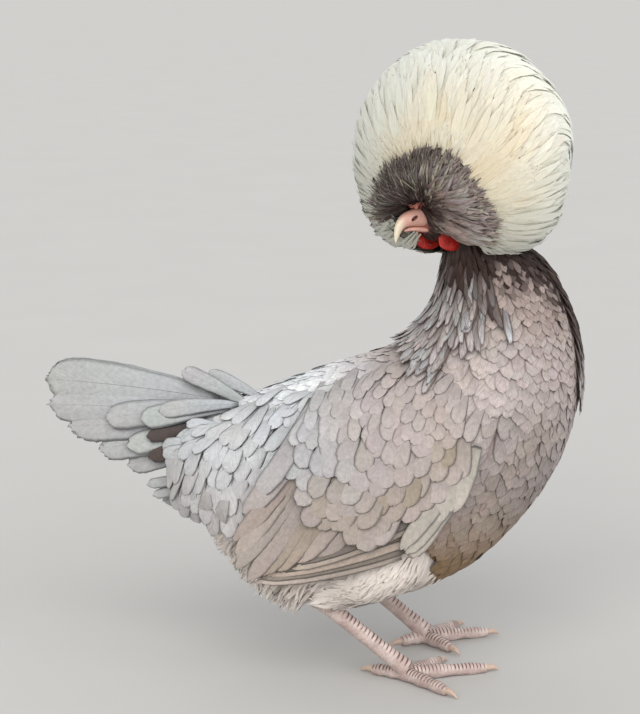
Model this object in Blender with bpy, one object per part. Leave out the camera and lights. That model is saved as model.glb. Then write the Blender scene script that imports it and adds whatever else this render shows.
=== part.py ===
# A white-crested hen standing in profile, its head turned back, as a still life-size model.
# Units are metres. +X is the way the breast faces, +Y the bird's left, and the floor is Z = 0.
import math
import random

import bmesh
import bpy
from mathutils import Matrix, Vector
from mathutils.bvhtree import BVHTree

MM = 0.001
GAP = 0.0003  # clearance between neighbouring solids
SIDES = {"right": -1, "left": 1}

# Body outline, tail end first: back x, back z, belly x, belly z, half width, centre y, in mm.
BODY_STATIONS = [
    (-86, 178, -88, 168, 5, 0),
    (-76, 190, -82, 142, 24, 0),
    (-54, 198, -68, 105, 45, 0),
    (-25, 208, -35, 80, 62, 0),
    (8, 221, 0, 63, 72, 0),
    (38, 231, 38, 54, 76, 0),
    (58, 238, 78, 59, 76, 0),
    (72, 248, 116, 79, 72, 0),
    (82, 261, 149, 111, 65, 0),
    (88, 275, 174, 149, 57, 0),
    (90, 288, 187, 190, 50, 0),
    (91, 299, 188, 230, 44, 0),
    (92, 309, 179, 264, 39, 0),
    (95, 319, 161, 295, 32, -2),
    (97, 328, 138, 308, 22, -7),
    (98, 333, 122, 318, 15, -11),
]
BREAST_START = 7  # station, counted from the tail end, where the breast begins
NECK_START = 10.5
BODY_SIDES = 22

# The head's own axes: it looks back over the bird's right side.
HEAD_CENTRE = Vector((92, -16, 327.5)) * MM
HEAD_FORWARD = Vector((-0.82, -0.56, -0.06)).normalized()
HEAD_LEFT = Vector((0, 0, 1)).cross(HEAD_FORWARD).normalized()
HEAD_UP = HEAD_FORWARD.cross(HEAD_LEFT)
# Outlines seen from the side: top forward and up, underside forward and up, and half width, in mm.
SKULL = [
    (-25, 3, -25, -1, 2),
    (-22, 10, -22, -8, 8),
    (-13, 17, -13, -13, 14),
    (-2, 20.5, -2, -14.5, 15.5),
    (9, 17.5, 9, -13.5, 14.5),
    (16, 13.5, 15, -11.5, 11.5),
    (21, 11.5, 19, -9, 8.5),
    (24, 6, 22, -4, 4.5),
]
UPPER_BILL = [
    (14, 10, 14, -3, 7.5),
    (21.5, 11.8, 21.5, -2.4, 7),
    (28, 12.8, 27.5, -1.6, 6.2),
    (34, 12.4, 32.6, -1.4, 5.2),
    (38.8, 10.4, 36.4, -1.8, 4.2),
    (42.4, 7.4, 38.8, -2.8, 3.4),
    (44.6, 3, 40.4, -4.4, 2.6),
    (45.2, -1.5, 41.9, -6, 1.8),
    (44.9, -5.4, 43.1, -7.6, 1.1),
    (44.4, -8.6, 44.1, -8.9, 0.3),
]
LOWER_BILL = [
    (14, -3.6, 14, -8, 6.5),
    (21.5, -3, 21.5, -7.2, 5.4),
    (28, -2.2, 27, -6.2, 4.2),
    (33, -2, 31.6, -5.4, 3),
    (36.2, -2.6, 35.4, -5, 1.8),
    (37.6, -3.4, 37.2, -4.6, 0.7),
]
EYE_PLACE = (11, 11.6, 5.5)  # forward, sideways, up, in mm
NOSTRIL_PLACE = (29.5, 5.2, 5.6)
NOSTRIL_SIZES = (3, 2.2, 2.2)
COMB_PLACE = (26, 2.3, 16)
COMB_SIZES = (3.6, 2.6, 4.6)
WATTLE_PLACE = (9.5, 8.5, -14)
WATTLE_SIZES = (9.5, 2.6, 8)
EYE_RADIUS = 5.2 * MM
LID_PLACE = (11, 13, 5.5)
LID_SIZES = (7.4, 2.6, 6.2)
LOBE_PLACE = (-1, 15.4, -6)
LOBE_SIZES = (3.4, 2, 4.6)
# What the crest leaves free round the bill and the wattles: place in the head and half sizes.
BILL_ROOM = ((33, 0, 3), (19, 9, 16))
WATTLE_ROOM = ((15, 0, -17), (12, 11, 11))
CREST_CENTRE = Vector((101, -5, 374)) * MM
CREST_RADIUS = 74.5
CREST_CORE = 34
# The crest's feathers part at this pole, over the face, and lie away from it.
FACE_POLE = Vector((-0.315, -0.84, -0.43)).normalized()
# Crest tiers: how far the tips lie from the face pole in degrees, how many feathers, and their width in mm.
CREST_TIERS = [
    (52, 9, 34),
    (78, 12, 36),
    (104, 12, 37),
    (130, 10, 36),
    (156, 6, 34),
    (178, 2, 30),
]
CREST_LENGTH = 42  # how far back, in degrees, a crest feather's root lies
CREST_BOW = 15  # how far a crest feather's middle stands out from its chord, in mm
OPEN_BELOW = -0.93  # no crest feather's tip points further down than this
# Face tiers: tips in degrees from the pole, feathers, width in mm, and share of the way to the tips.
FACE_TIERS = [(40, 9, 24, 1.0), (34, 5, 21, 0.62)]
FACE_TURNS = (-150, 105)  # the bill looks out through the rest of the circle
FOREHEAD = (14, 0, 15)

# Feather outlines: share of the length, and share of the full width there.
BROAD = [(0, 0.4), (0.35, 0.9), (0.7, 1), (0.92, 0.72)]
SLIM = [(0, 0.6), (0.4, 1), (0.85, 0.72)]
LOCK = [(0, 0.25), (0.36, 0.62), (0.72, 1), (0.92, 0.62)]

WING_WIDEST = 82  # half width over both wings, in mm
WING_MIDDLE = (45, 150)  # where it is widest, in the side view
WING_CURVE = 0.0018
WING_TOP = 95  # how far above the middle the wing's curve would close over the back

# Wing tiers, side view in mm: roots and tips of the first, middle and last feather.
WING_TIERS = {
    "primaries": {
        "count": 4, "width": 13, "rise": (-5, -1.5), "shape": SLIM,
        "roots": [(84, 132), (78, 130), (70, 126)], "tips": [(34, 101), (-8, 91), (-49, 78)],
    },
    "secondaries": {
        "count": 6, "width": 24, "rise": (-5, -0.3), "shape": BROAD,
        "roots": [(72, 146), (18, 152), (0, 196)], "tips": [(46, 106), (-34, 89), (-49, 138)],
    },
    "greater coverts": {
        "count": 5, "width": 25, "rise": (-5, 1.3), "shape": BROAD,
        "roots": [(94, 174), (44, 172), (4, 192)], "tips": [(78, 141), (38, 129), (-24, 140)],
    },
    "median coverts": {
        "count": 5, "width": 23, "rise": (-5, 2.4), "shape": BROAD,
        "roots": [(98, 204), (56, 200), (16, 206)], "tips": [(92, 170), (44, 157), (-18, 166)],
    },
    "carpal feathers": {
        "count": 2, "width": 15, "rise": (-5, 1), "shape": SLIM,
        "roots": [(111, 164), (102, 160)], "tips": [(92, 127), (62, 118)],
    },
}

# Tail feathers of one side: root x, y, z, tip x, y, z and width, in mm.
TAIL_VANES = [
    (-70, 4, 198, -190, 5, 214, 32),
    (-74, 8, 188, -187, 8.5, 195, 26),
    (-76, 10, 178, -172, 10.5, 180, 23),
    (-78, 11, 169, -151, 12, 164, 20),
    (-80, 11.5, 162, -131, 12.5, 152, 17),
    (-68, 12, 192, -146, 15, 188, 22),
    (-72, 14, 178, -131, 17, 166, 18),
    (-64, 17, 190, -121, 20, 188, 19),
    (-72, 18, 174, -114, 20, 160, 13),
]
# Short feathers that stick out above and below the tail's base.
STRAY_VANES = [
    (-50, -5, 190, -93, -9, 219, 13),
    (-46, 2, 192, -76, 3, 217, 12),
    (-70, -12, 142, -117, -12, 136, 15),
    (-70, 10, 136, -112, 10, 128, 15),
    (-66, -6, 130, -105, -7, 117, 17),
]

# Saddle feathers of one side, side view in mm: roots and tips of the first, middle and last.
SADDLE_TIERS = {
    "lower": {
        "count": 5, "width": 21, "rise": (-2.5, 2),
        "roots": [(-62, 184), (-62, 160), (-46, 146)], "tips": [(-107, 146), (-93, 112), (-66, 98)],
    },
    "upper": {
        "count": 4, "width": 20, "rise": (-2, 4.5),
        "roots": [(-50, 190), (-42, 187), (-33, 183)], "tips": [(-84, 160), (-70, 140), (-60, 132)],
    },
}

# Legs: hock and ball of the foot, then each toe's tip on the floor, in mm.
LEGS = {
    "right": {
        "knee": (62, -44, 100),
        "hock": (4, -42, 63),
        "ball": (66, -36, 9),
        "toes": {"inner": (98, 2), "middle": (134, -17), "outer": (100, -74), "hind": (34, -18)},
    },
    "left": {
        "knee": (76, 44, 100),
        "hock": (22, 43, 63),
        "ball": (84, 42, 9),
        "toes": {"inner": (108, 13), "middle": (141, 60), "outer": (116, 82), "hind": (56, 31)},
    },
}


SHANK_RADIUS = 5.6  # all in mm
SHANK_FLARE = 1.4  # how much thicker it is at the hock and the foot
TOE_RADIUS = 5.4
TOE_TAPER = 1.9
TOE_PAD = 0.35
TOE_ARCH = 0.5
TOE_START = -3.8  # a toe's middle under the ball of the foot
TOE_TIP_HEIGHT = 3
CLAW = [(-2, 0, 2.2), (2, 0.8, 2.3), (6, 0.2, 1.6), (10, -1.8, 0.4)]  # ahead of the toe, up, and radius
# Feathered thigh: share of the way from knee to hock, and radius in mm.
THIGH = [(-0.15, 20), (0.1, 27), (0.35, 27), (0.6, 22), (0.82, 16), (1.0, 12), (1.1, 8)]
TAIL_BASE = ((-80, 0, 172), (19, 14, 27))  # centre and half sizes in mm
SLATE = 0.08  # how far each vane turns about its shaft, so that one side lies over the next, in radians


def make_material(name, colour, roughness, metallic=0.0):
    material = bpy.data.materials.new(name)
    material.use_nodes = True
    shader = material.node_tree.nodes["Principled BSDF"]
    shader.inputs["Base Color"].default_value = (*colour, 1)
    shader.inputs["Roughness"].default_value = roughness
    shader.inputs["Metallic"].default_value = metallic
    return material


def make_object(name, bm, material=None):
    bmesh.ops.recalc_face_normals(bm, faces=bm.faces)
    mesh = bpy.data.meshes.new(name)
    bm.to_mesh(mesh)
    bm.free()
    obj = bpy.data.objects.new(name, mesh)
    bpy.context.scene.collection.objects.link(obj)
    if material:
        mesh.materials.append(material)
    return obj


def catmull(values, s):
    # Smooth value at position s along a list of tuples.
    last = len(values) - 1
    i = min(int(s), last - 1)
    t = s - i
    p0, p1, p2, p3 = (values[min(max(i + k, 0), last)] for k in (-1, 0, 1, 2))
    return [
        0.5 * (2 * b + (c - a) * t + (2 * a - 5 * b + 4 * c - d) * t**2 + (3 * b - 3 * c + d - a) * t**3)
        for a, b, c, d in zip(p0, p1, p2, p3)
    ]


def body_ring(s, sides=BODY_SIDES):
    back_x, back_z, belly_x, belly_z, half_width, centre_y = catmull(BODY_STATIONS, s)
    back = Vector((back_x, centre_y, back_z)) * MM
    belly = Vector((belly_x, centre_y, belly_z)) * MM
    centre = (back + belly) / 2
    half = (back - belly) / 2
    side = Vector((0, max(half_width, 0.5) * MM, 0))
    angles = (2 * math.pi * k / sides for k in range(sides))
    return [centre + half * math.cos(a) + side * math.sin(a) for a in angles]


def loft(rings):
    # A closed tube through rings of equally many points, with flat ends.
    bm = bmesh.new()
    rows = [[bm.verts.new(p) for p in ring] for ring in rings]
    count = len(rows[0])
    for low, high in zip(rows, rows[1:]):
        for k in range(count):
            n = (k + 1) % count
            bm.faces.new((low[k], low[n], high[n], high[k]))
    bm.faces.new(rows[0])
    bm.faces.new(rows[-1])
    bmesh.ops.triangulate(bm, faces=bm.faces)
    return bm


def head_point(forward, sideways, up):
    return HEAD_CENTRE + (HEAD_FORWARD * forward + HEAD_LEFT * sideways + HEAD_UP * up) * MM


def side_point(place, sign):
    # A place on the head's left where sign is 1, and on its right where it is -1.
    return head_point(place[0], sign * place[1], place[2])


def head_loft(stations, sides, rows):
    rings = []
    for row in range(rows + 1):
        top_f, top_u, low_f, low_u, half_width = catmull(stations, row * (len(stations) - 1) / rows)
        top, low = head_point(top_f, 0, top_u), head_point(low_f, 0, low_u)
        centre, half = (top + low) / 2, (top - low) / 2
        side = HEAD_LEFT * half_width * MM
        angles = (2 * math.pi * k / sides for k in range(sides))
        rings.append([centre + half * math.cos(a) + side * math.sin(a) for a in angles])
    return loft(rings)


def ellipsoid(name, centre, axes, sizes, segments=12, rings=8, material=None):
    # axes are three unit vectors, and sizes the half lengths along them, in mm.
    bm = bmesh.new()
    bmesh.ops.create_uvsphere(bm, u_segments=segments, v_segments=rings, radius=1)
    bmesh.ops.triangulate(bm, faces=bm.faces)
    for v in bm.verts:
        x, y, z = v.co
        v.co = centre + (axes[0] * x * sizes[0] + axes[1] * y * sizes[1] + axes[2] * z * sizes[2]) * MM
    return make_object(name, bm, material)


HEAD_AXES = (HEAD_FORWARD, HEAD_LEFT, HEAD_UP)
WORLD_AXES = (Vector((1, 0, 0)), Vector((0, 1, 0)), Vector((0, 0, 1)))


def inflated(obj, by=GAP):
    # A cutter that follows obj's surface at a distance.
    cutter = obj.copy()
    cutter.data = obj.data.copy()
    cutter.name = obj.name + "_cutter"
    bpy.context.scene.collection.objects.link(cutter)
    normals = [v.normal.copy() for v in cutter.data.vertices]
    for vertex, normal in zip(cutter.data.vertices, normals):
        vertex.co += normal * by
    cutter.hide_render = True
    cutter.display_type = "WIRE"
    return cutter


def apply_boolean(obj, operation, others, solver="MANIFOLD"):
    # Joins or cuts obj with all of the others at once, then removes them.
    helpers = bpy.data.collections.new("helpers")
    for other in others:
        helpers.objects.link(other)
    modifier = obj.modifiers.new(operation, "BOOLEAN")
    modifier.operation = operation
    modifier.operand_type = "COLLECTION"
    modifier.collection = helpers
    modifier.solver = solver
    graph = bpy.context.evaluated_depsgraph_get()
    result = bpy.data.meshes.new_from_object(obj.evaluated_get(graph))
    obj.modifiers.clear()
    obj.data = result
    for other in others:
        bpy.data.objects.remove(other)
    bpy.data.collections.remove(helpers)


def keep_largest(obj):
    # Keeps only the closed surface that holds the most.
    bm = bmesh.new()
    bm.from_mesh(obj.data)
    bmesh.ops.triangulate(bm, faces=bm.faces)
    waiting = set(bm.faces)
    shells = []
    while waiting:
        shell, queue = [], [waiting.pop()]
        while queue:
            face = queue.pop()
            shell.append(face)
            for edge in face.edges:
                for neighbour in edge.link_faces:
                    if neighbour in waiting:
                        waiting.remove(neighbour)
                        queue.append(neighbour)
        shells.append(shell)

    def volume(shell):
        return sum(f.verts[0].co.dot(f.verts[1].co.cross(f.verts[2].co)) for f in shell) / 6

    shells.sort(key=volume)
    for shell in shells[:-1]:
        bmesh.ops.delete(bm, geom=shell, context="FACES")
    bm.to_mesh(obj.data)
    bm.free()


def finish_node(obj, joined=(), cut_by=()):
    if joined:
        apply_boolean(obj, "UNION", list(joined))
    if cut_by:
        apply_boolean(obj, "DIFFERENCE", [inflated(other) for other in cut_by])
    keep_largest(obj)
    return obj


def sweep(points, radii, sides, squash=1.0):
    # A round tube along points, with one radius each. squash narrows it sideways.
    rings = []
    for i, point in enumerate(points):
        along = (points[min(i + 1, len(points) - 1)] - points[max(i - 1, 0)]).normalized()
        side = along.cross(Vector((0, 0, 1))).normalized()
        up = side.cross(along)
        angles = (2 * math.pi * k / sides for k in range(sides))
        side *= radii[i] * squash
        up *= radii[i]
        rings.append([point + side * math.sin(a) + up * math.cos(a) for a in angles])
    return loft(rings)


def flat_foot(bm):
    # Trims what reaches under the floor, which leaves small flats at Z = 0.
    everything = bm.verts[:] + bm.edges[:] + bm.faces[:]
    cut = bmesh.ops.bisect_plane(bm, geom=everything, plane_co=(0, 0, 0), plane_no=(0, 0, -1), clear_outer=True)
    edges = [e for e in cut["geom_cut"] if isinstance(e, bmesh.types.BMEdge)]
    bmesh.ops.holes_fill(bm, edges=edges)
    bmesh.ops.triangulate(bm, faces=bm.faces)


def vane(root, tip, out, width, shape=BROAD, bow=0.0, thick=1.3 * MM, camber=0.1, roll=0.0):
    # A closed feather from root to tip. out is the way its upper face looks, bow how far its
    # middle stands out that way, and roll turns it about its shaft so that it overlaps like a slate.
    middle = (root + tip) / 2 + out * bow
    bend = middle * 2 - (root + tip) / 2
    bm = bmesh.new()
    rows = []
    for t, share in shape:
        centre = root * (1 - t) ** 2 + bend * 2 * t * (1 - t) + tip * t**2
        along = ((bend - root) * (1 - t) + (tip - bend) * t).normalized()
        side = along.cross(out).normalized()
        face = side.cross(along)
        turned = Matrix.Rotation(-roll, 3, along)
        side, face = turned @ side, turned @ face
        half = side * width * share / 2
        drop = face * width * share * camber
        ridge = face * thick * (1 - 0.5 * t) / 2
        corners = (centre - half - drop, centre + ridge, centre + half - drop, centre - ridge)
        rows.append([bm.verts.new(corner) for corner in corners])
    for low, high in zip(rows, rows[1:]):
        for k, n in ((0, 1), (0, 3), (2, 1), (2, 3)):
            bm.faces.new((low[k], low[n], high[n]))
            bm.faces.new((low[k], high[n], high[k]))
    point = bm.verts.new(tip)
    for k, n in ((0, 1), (1, 2), (2, 3), (3, 0)):
        bm.faces.new((rows[-1][k], rows[-1][n], point))
    bm.faces.new(rows[0][:3])
    bm.faces.new((rows[0][0], rows[0][2], rows[0][3]))
    return make_object("vane", bm)


def build_body(materials):
    last = len(BODY_STATIONS) - 1
    nodes = []
    for name, start, end, count, look in (
        ("torso", 0, BREAST_START, 14, "plumage"),
        ("breast", BREAST_START, NECK_START, 6, "plumage"),
        ("neck", NECK_START, last, 8, "neck"),
    ):
        rings = [body_ring(start + (end - start) * k / count) for k in range(count + 1)]
        node = make_object(name, loft(rings), materials[look])
        if nodes:
            finish_node(node, cut_by=[nodes[-1]])
        nodes.append(node)
    return nodes


def surface_tree(obj):
    bm = bmesh.new()
    bm.from_mesh(obj.data)
    tree = BVHTree.FromBMesh(bm)
    bm.free()
    return tree


def spread(points, share):
    return catmull(points, share * (len(points) - 1))


def add_saddle(torso):
    # Long saddle feathers that hang from the back over the flanks and the tail's base.
    tree = surface_tree(torso)

    def flank(sign, x, z, rise):
        seen = tree.find_nearest(Vector((x, sign * 55, z)) * MM)[0]
        return Vector((x * MM, seen.y + sign * rise * MM, z * MM))

    vanes = []
    for sign in SIDES.values():
        for tier in SADDLE_TIERS.values():
            for k in range(tier["count"]):
                share = k / (tier["count"] - 1)
                (x0, z0), (x1, z1) = spread(tier["roots"], share), spread(tier["tips"], share)
                root = flank(sign, x0, z0, tier["rise"][0])
                tip = flank(sign, x1, z1, tier["rise"][1])
                middle = flank(sign, (x0 + x1) / 2, (z0 + z1) / 2, tier["rise"][1])
                bow = max(0.0, (middle - (root + tip) / 2).y * sign)
                out = Vector((0, sign, 0.25))
                vanes.append(vane(root, tip, out, tier["width"] * MM, bow=bow, roll=sign * SLATE))
    for x0, y0, z0, x1, y1, z1, width in STRAY_VANES:
        root, tip = Vector((x0, y0, z0)) * MM, Vector((x1, y1, z1)) * MM
        vanes.append(vane(root, tip, Vector((-0.2, -1, 0.3)), width * MM, bow=MM, camber=0.08))
    finish_node(torso, joined=vanes)


def build_head(material, neck):
    head = make_object("head", head_loft(SKULL, 14, 10), material)
    eyes = {side: side_point(EYE_PLACE, sign) for side, sign in SIDES.items()}
    lids = []
    for sign in SIDES.values():
        lids.append(ellipsoid("lid", side_point(LID_PLACE, sign), HEAD_AXES, LID_SIZES, 8, 6))
    finish_node(head, joined=lids, cut_by=[neck])
    sockets = [ellipsoid("socket", eyes[s], HEAD_AXES, [EYE_RADIUS / MM + 0.4] * 3, 12, 7) for s in SIDES]
    apply_boolean(head, "DIFFERENCE", sockets)
    keep_largest(head)
    return eyes


def build_bill(materials):
    upper = make_object("bill_upper", head_loft(UPPER_BILL, 10, 9), materials["bill"])
    nostrils = [
        ellipsoid("nostril", side_point(NOSTRIL_PLACE, sign), HEAD_AXES, NOSTRIL_SIZES, 7, 5)
        for sign in SIDES.values()
    ]
    apply_boolean(upper, "DIFFERENCE", [*nostrils, skull_room()])
    keep_largest(upper)
    lower = make_object("bill_lower", head_loft(LOWER_BILL, 10, 6), materials["bill"])
    apply_boolean(lower, "DIFFERENCE", [skull_room()])
    return upper, finish_node(lower, cut_by=[upper])


def build_face(materials, upper, lower, neck):
    comb = ellipsoid("comb", side_point(COMB_PLACE, 1), HEAD_AXES, COMB_SIZES, 7, 5, materials["comb"])
    horn = ellipsoid("horn", side_point(COMB_PLACE, -1), HEAD_AXES, COMB_SIZES, 7, 5)
    apply_boolean(comb, "UNION", [horn])
    apply_boolean(comb, "DIFFERENCE", [skull_room()])
    finish_node(comb, cut_by=[upper])
    for side, sign in SIDES.items():
        place = side_point(WATTLE_PLACE, sign)
        wattle = ellipsoid("wattle_" + side, place, HEAD_AXES, WATTLE_SIZES, 10, 7, materials["comb"])
        apply_boolean(wattle, "DIFFERENCE", [skull_room()])
        finish_node(wattle, cut_by=[lower, neck])
        place = side_point(LOBE_PLACE, sign)
        lobe = ellipsoid("earlobe_" + side, place, HEAD_AXES, LOBE_SIZES, 8, 6, materials["earlobe"])
        apply_boolean(lobe, "DIFFERENCE", [skull_room()])
        keep_largest(lobe)
    return comb


def skull_room():
    # The plain skull grown by a gap, for what sits on it.
    gap = GAP / MM * 1.2
    grown = []
    for top_f, top_u, low_f, low_u, wide in SKULL:
        ahead = math.copysign(gap, top_f)
        grown.append((top_f + ahead, top_u + gap, low_f + ahead, low_u - gap, wide + gap))
    return make_object("skull_room", head_loft(grown, 14, 10))


def head_room():
    # What the crest leaves free for the head, its lids and earlobes.
    room = [skull_room()]
    for sign in SIDES.values():
        for place, sizes in ((LID_PLACE, LID_SIZES), (LOBE_PLACE, LOBE_SIZES)):
            grown = [size + 2.5 for size in sizes]
            room.append(ellipsoid("room", side_point(place, sign), HEAD_AXES, grown, 8, 6))
    return room


def globe(direction, radius):
    # A place in the crest: round above, and fuller below the middle.
    x, y, z = direction
    flat = math.hypot(x, y)
    if z < 0 and flat > 0.2:
        grow = (1 - abs(z) ** 2.7) ** (1 / 2.7) / flat
        x, y = x * grow, y * grow
    return CREST_CENTRE + Vector((x, y, z)) * radius * MM


def build_crest(material, around):
    rng = random.Random(7)
    bm = bmesh.new()
    bmesh.ops.create_icosphere(bm, subdivisions=2, radius=1)
    for v in bm.verts:
        v.co = CREST_CENTRE + v.co.normalized() * CREST_CORE * MM
    crest = make_object("crest", bm, material)
    forehead = head_point(*FOREHEAD)
    vanes = [ellipsoid("forehead", forehead, HEAD_AXES, (13, 13, 13), 10, 6)]
    across = FACE_POLE.cross(Vector((0, 0, 1))).normalized()
    upward = across.cross(FACE_POLE)

    def direction(polar, turn):
        polar, turn = math.radians(polar), math.radians(turn)
        around_pole = across * math.sin(turn) + upward * math.cos(turn)
        return FACE_POLE * math.cos(polar) + around_pole * math.sin(polar)

    for tier, (tip_polar, count, width) in enumerate(CREST_TIERS):
        for k in range(count):
            turn = (k + 0.5 * (tier % 2) + rng.uniform(-0.1, 0.1)) * 360 / count
            polar = tip_polar + rng.uniform(-3, 3)
            if direction(polar, turn).z < OPEN_BELOW:
                continue
            root = CREST_CENTRE + direction(polar - CREST_LENGTH, turn) * (CREST_CORE - 3) * MM
            tip = globe(direction(polar, turn), CREST_RADIUS + rng.uniform(-1, 1.5))
            out = direction(polar - CREST_LENGTH / 2, turn)
            vanes.append(vane(root, tip, out, width * MM, LOCK, CREST_BOW * MM, 1.6 * MM, 0.14, SLATE))
    for polar, count, width, share in FACE_TIERS:
        for k in range(count):
            turn = FACE_TURNS[0] + (FACE_TURNS[1] - FACE_TURNS[0]) * k / (count - 1)
            tip = forehead.lerp(globe(direction(polar, turn), CREST_RADIUS - 1), share)
            spread_way = (tip - forehead).normalized()
            root = forehead + spread_way * 8 * MM
            vanes.append(vane(root, tip, FACE_POLE, width * MM, LOCK, 4 * MM, 1.5 * MM, 0.12, SLATE))
    apply_boolean(crest, "UNION", vanes)
    face_room = []
    for place, sizes in (BILL_ROOM, WATTLE_ROOM):
        face_room.append(ellipsoid("room", head_point(*place), HEAD_AXES, sizes, 12, 8))
    apply_boolean(crest, "DIFFERENCE", [*face_room, *head_room()])
    return finish_node(crest, cut_by=around)


def build_leg(side, leg, materials):
    hock, ball = Vector(leg["hock"]) * MM, Vector(leg["ball"]) * MM
    steps = 8
    shank_points = [hock.lerp(ball, k / steps) for k in range(steps + 1)]
    shank_radii = [(SHANK_RADIUS + SHANK_FLARE * abs(2 * k / steps - 1) ** 3) * MM for k in range(steps + 1)]
    shank = make_object("leg_" + side, sweep(shank_points, shank_radii, 8, 0.85), materials["scale"])
    pieces = []
    claws = {}
    for toe, (tip_x, tip_y) in leg["toes"].items():
        tip = Vector((tip_x, tip_y, TOE_TIP_HEIGHT)) * MM
        start = ball + Vector((0, 0, TOE_START)) * MM
        reach = tip - start
        end = start + reach * (1 - CLAW[-1][0] * MM / reach.length)
        count = 5
        points = []
        radii = []
        for k in range(count + 1):
            arch = Vector((0, 0, TOE_ARCH * math.sin(math.pi * k / count))) * MM
            points.append(start.lerp(end, k / count) + arch)
            pad = TOE_PAD * math.cos(k * math.pi)
            radii.append((TOE_RADIUS - TOE_TAPER * k / count + pad) * MM)
        bm = sweep(points, radii, 6)
        flat_foot(bm)
        pieces.append(make_object("toe", bm))
        ahead = reach.normalized()
        claws[toe] = [points[-1] + (ahead * along + Vector((0, 0, up))) * MM for along, up, _ in CLAW]
    leg_node = finish_node(shank, joined=pieces)
    for toe, claw_points in claws.items():
        horn = sweep(claw_points, [radius * MM for _, _, radius in CLAW], 6)
        finish_node(make_object(f"claw_{side}_{toe}", horn, materials["claw"]), cut_by=[leg_node])
    return leg_node


def build_thigh(side, leg, material, around):
    knee, hock = Vector(leg["knee"]) * MM, Vector(leg["hock"]) * MM
    reach = hock - knee
    points = [knee + reach * share for share, _ in THIGH]
    radii = [radius * MM for _, radius in THIGH]
    thigh = make_object("thigh_" + side, sweep(points, radii, 12), material)
    return finish_node(thigh, cut_by=around)


def wing_surface(x, z):
    # Half width of the folded wing's outer face at a side-view place, in mm.
    widest = WING_WIDEST - WING_CURVE * (x - WING_MIDDLE[0]) ** 2
    rise = z - WING_MIDDLE[1]
    if rise > 0:
        return widest * math.sqrt(1 - min(rise / WING_TOP, 0.999) ** 2)
    return widest - WING_CURVE * rise**2


WING_CORE = [
    (108, 182), (114, 158), (106, 138), (82, 122), (50, 114), (15, 108), (-14, 108), (-27, 122),
    (-29, 145), (-20, 172), (-4, 196), (22, 216), (54, 230), (86, 220),
]


def build_wing(side, material, around):
    sign = SIDES[side]
    middle = [sum(values) / len(WING_CORE) for values in zip(*WING_CORE)]
    bm = bmesh.new()

    def on_wing(x, z, rise):
        return Vector((x, sign * (wing_surface(x, z) + rise), z)) * MM

    def layer(depth):
        rings = []
        for share in (1, 0.6):
            sink = 3 if share == 1 else 2.6
            inset = [[m + (value - m) * share for value, m in zip(corner, middle)] for corner in WING_CORE]
            rings.append([bm.verts.new(on_wing(x, z, -depth - sink)) for x, z in inset])
        centre = bm.verts.new(on_wing(*middle, -depth - 2.6))
        count = len(WING_CORE)
        for k in range(count):
            n = (k + 1) % count
            bm.faces.new((rings[0][k], rings[0][n], rings[1][n], rings[1][k]))
            bm.faces.new((rings[1][k], rings[1][n], centre))
        return rings[0]

    outer, inner = layer(0), layer(6)
    for k in range(len(outer)):
        n = (k + 1) % len(outer)
        bm.faces.new((outer[k], outer[n], inner[n], inner[k]))
    bmesh.ops.triangulate(bm, faces=bm.faces)
    wing = make_object("wing_" + side, bm, material)
    vanes = []
    for tier in WING_TIERS.values():
        for k in range(tier["count"]):
            share = k / (tier["count"] - 1)
            (x0, z0), (x1, z1) = spread(tier["roots"], share), spread(tier["tips"], share)
            root, tip = on_wing(x0, z0, tier["rise"][0]), on_wing(x1, z1, tier["rise"][1])
            halfway = on_wing((x0 + x1) / 2, (z0 + z1) / 2, sum(tier["rise"]) / 2)
            bow = max(0.0, (halfway - (root + tip) / 2).y * sign)
            out = Vector((0, sign, 0))
            wide = tier["width"] * MM
            vanes.append(vane(root, tip, out, wide, tier["shape"], bow, 1.2 * MM, 0.06, sign * SLATE))
    return finish_node(wing, joined=vanes, cut_by=around)


def build_tail(material, around):
    centre, sizes = TAIL_BASE
    tail = ellipsoid("tail", Vector(centre) * MM, WORLD_AXES, sizes, 12, 8, material)
    vanes = []
    for sign in SIDES.values():
        for x0, y0, z0, x1, y1, z1, width in TAIL_VANES:
            root, tip = Vector((x0, sign * y0, z0)) * MM, Vector((x1, sign * y1, z1)) * MM
            vanes.append(vane(root, tip, Vector((0, sign, 0.35)), width * MM, bow=MM, camber=0.05))
    return finish_node(tail, joined=vanes, cut_by=around)


def main():
    for obj in list(bpy.data.objects):
        bpy.data.objects.remove(obj)
    materials = {
        "plumage": make_material("plumage", (0.62, 0.59, 0.58), 0.8),
        "neck": make_material("neck_plumage", (0.30, 0.26, 0.25), 0.8),
        "crest": make_material("crest_plumage", (0.88, 0.85, 0.76), 0.85),
        "face": make_material("face_skin", (0.62, 0.32, 0.27), 0.55),
        "bill": make_material("bill_horn", (0.82, 0.62, 0.50), 0.4),
        "comb": make_material("comb_and_wattles", (0.62, 0.05, 0.03), 0.45),
        "earlobe": make_material("earlobe", (0.85, 0.80, 0.76), 0.5),
        "eye": make_material("eye", (0.45, 0.16, 0.04), 0.1),
        "scale": make_material("leg_scales", (0.60, 0.46, 0.43), 0.5),
        "claw": make_material("claw_horn", (0.66, 0.50, 0.40), 0.4),
    }
    torso, breast, neck = build_body(materials)
    for side in SIDES:
        build_wing(side, materials["plumage"], [torso, breast])
    add_saddle(torso)
    eyes = build_head(materials["face"], neck)
    for side in SIDES:
        ellipsoid("eye_" + side, eyes[side], HEAD_AXES, [EYE_RADIUS / MM] * 3, 12, 7, materials["eye"])
    upper, lower = build_bill(materials)
    comb = build_face(materials, upper, lower, neck)
    build_crest(materials["crest"], [neck, comb, upper])
    for side, leg in LEGS.items():
        leg_node = build_leg(side, leg, materials)
        build_thigh(side, leg, materials["plumage"], [torso, breast, leg_node])
    build_tail(materials["plumage"], [torso])


main()
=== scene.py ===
import math

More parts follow.
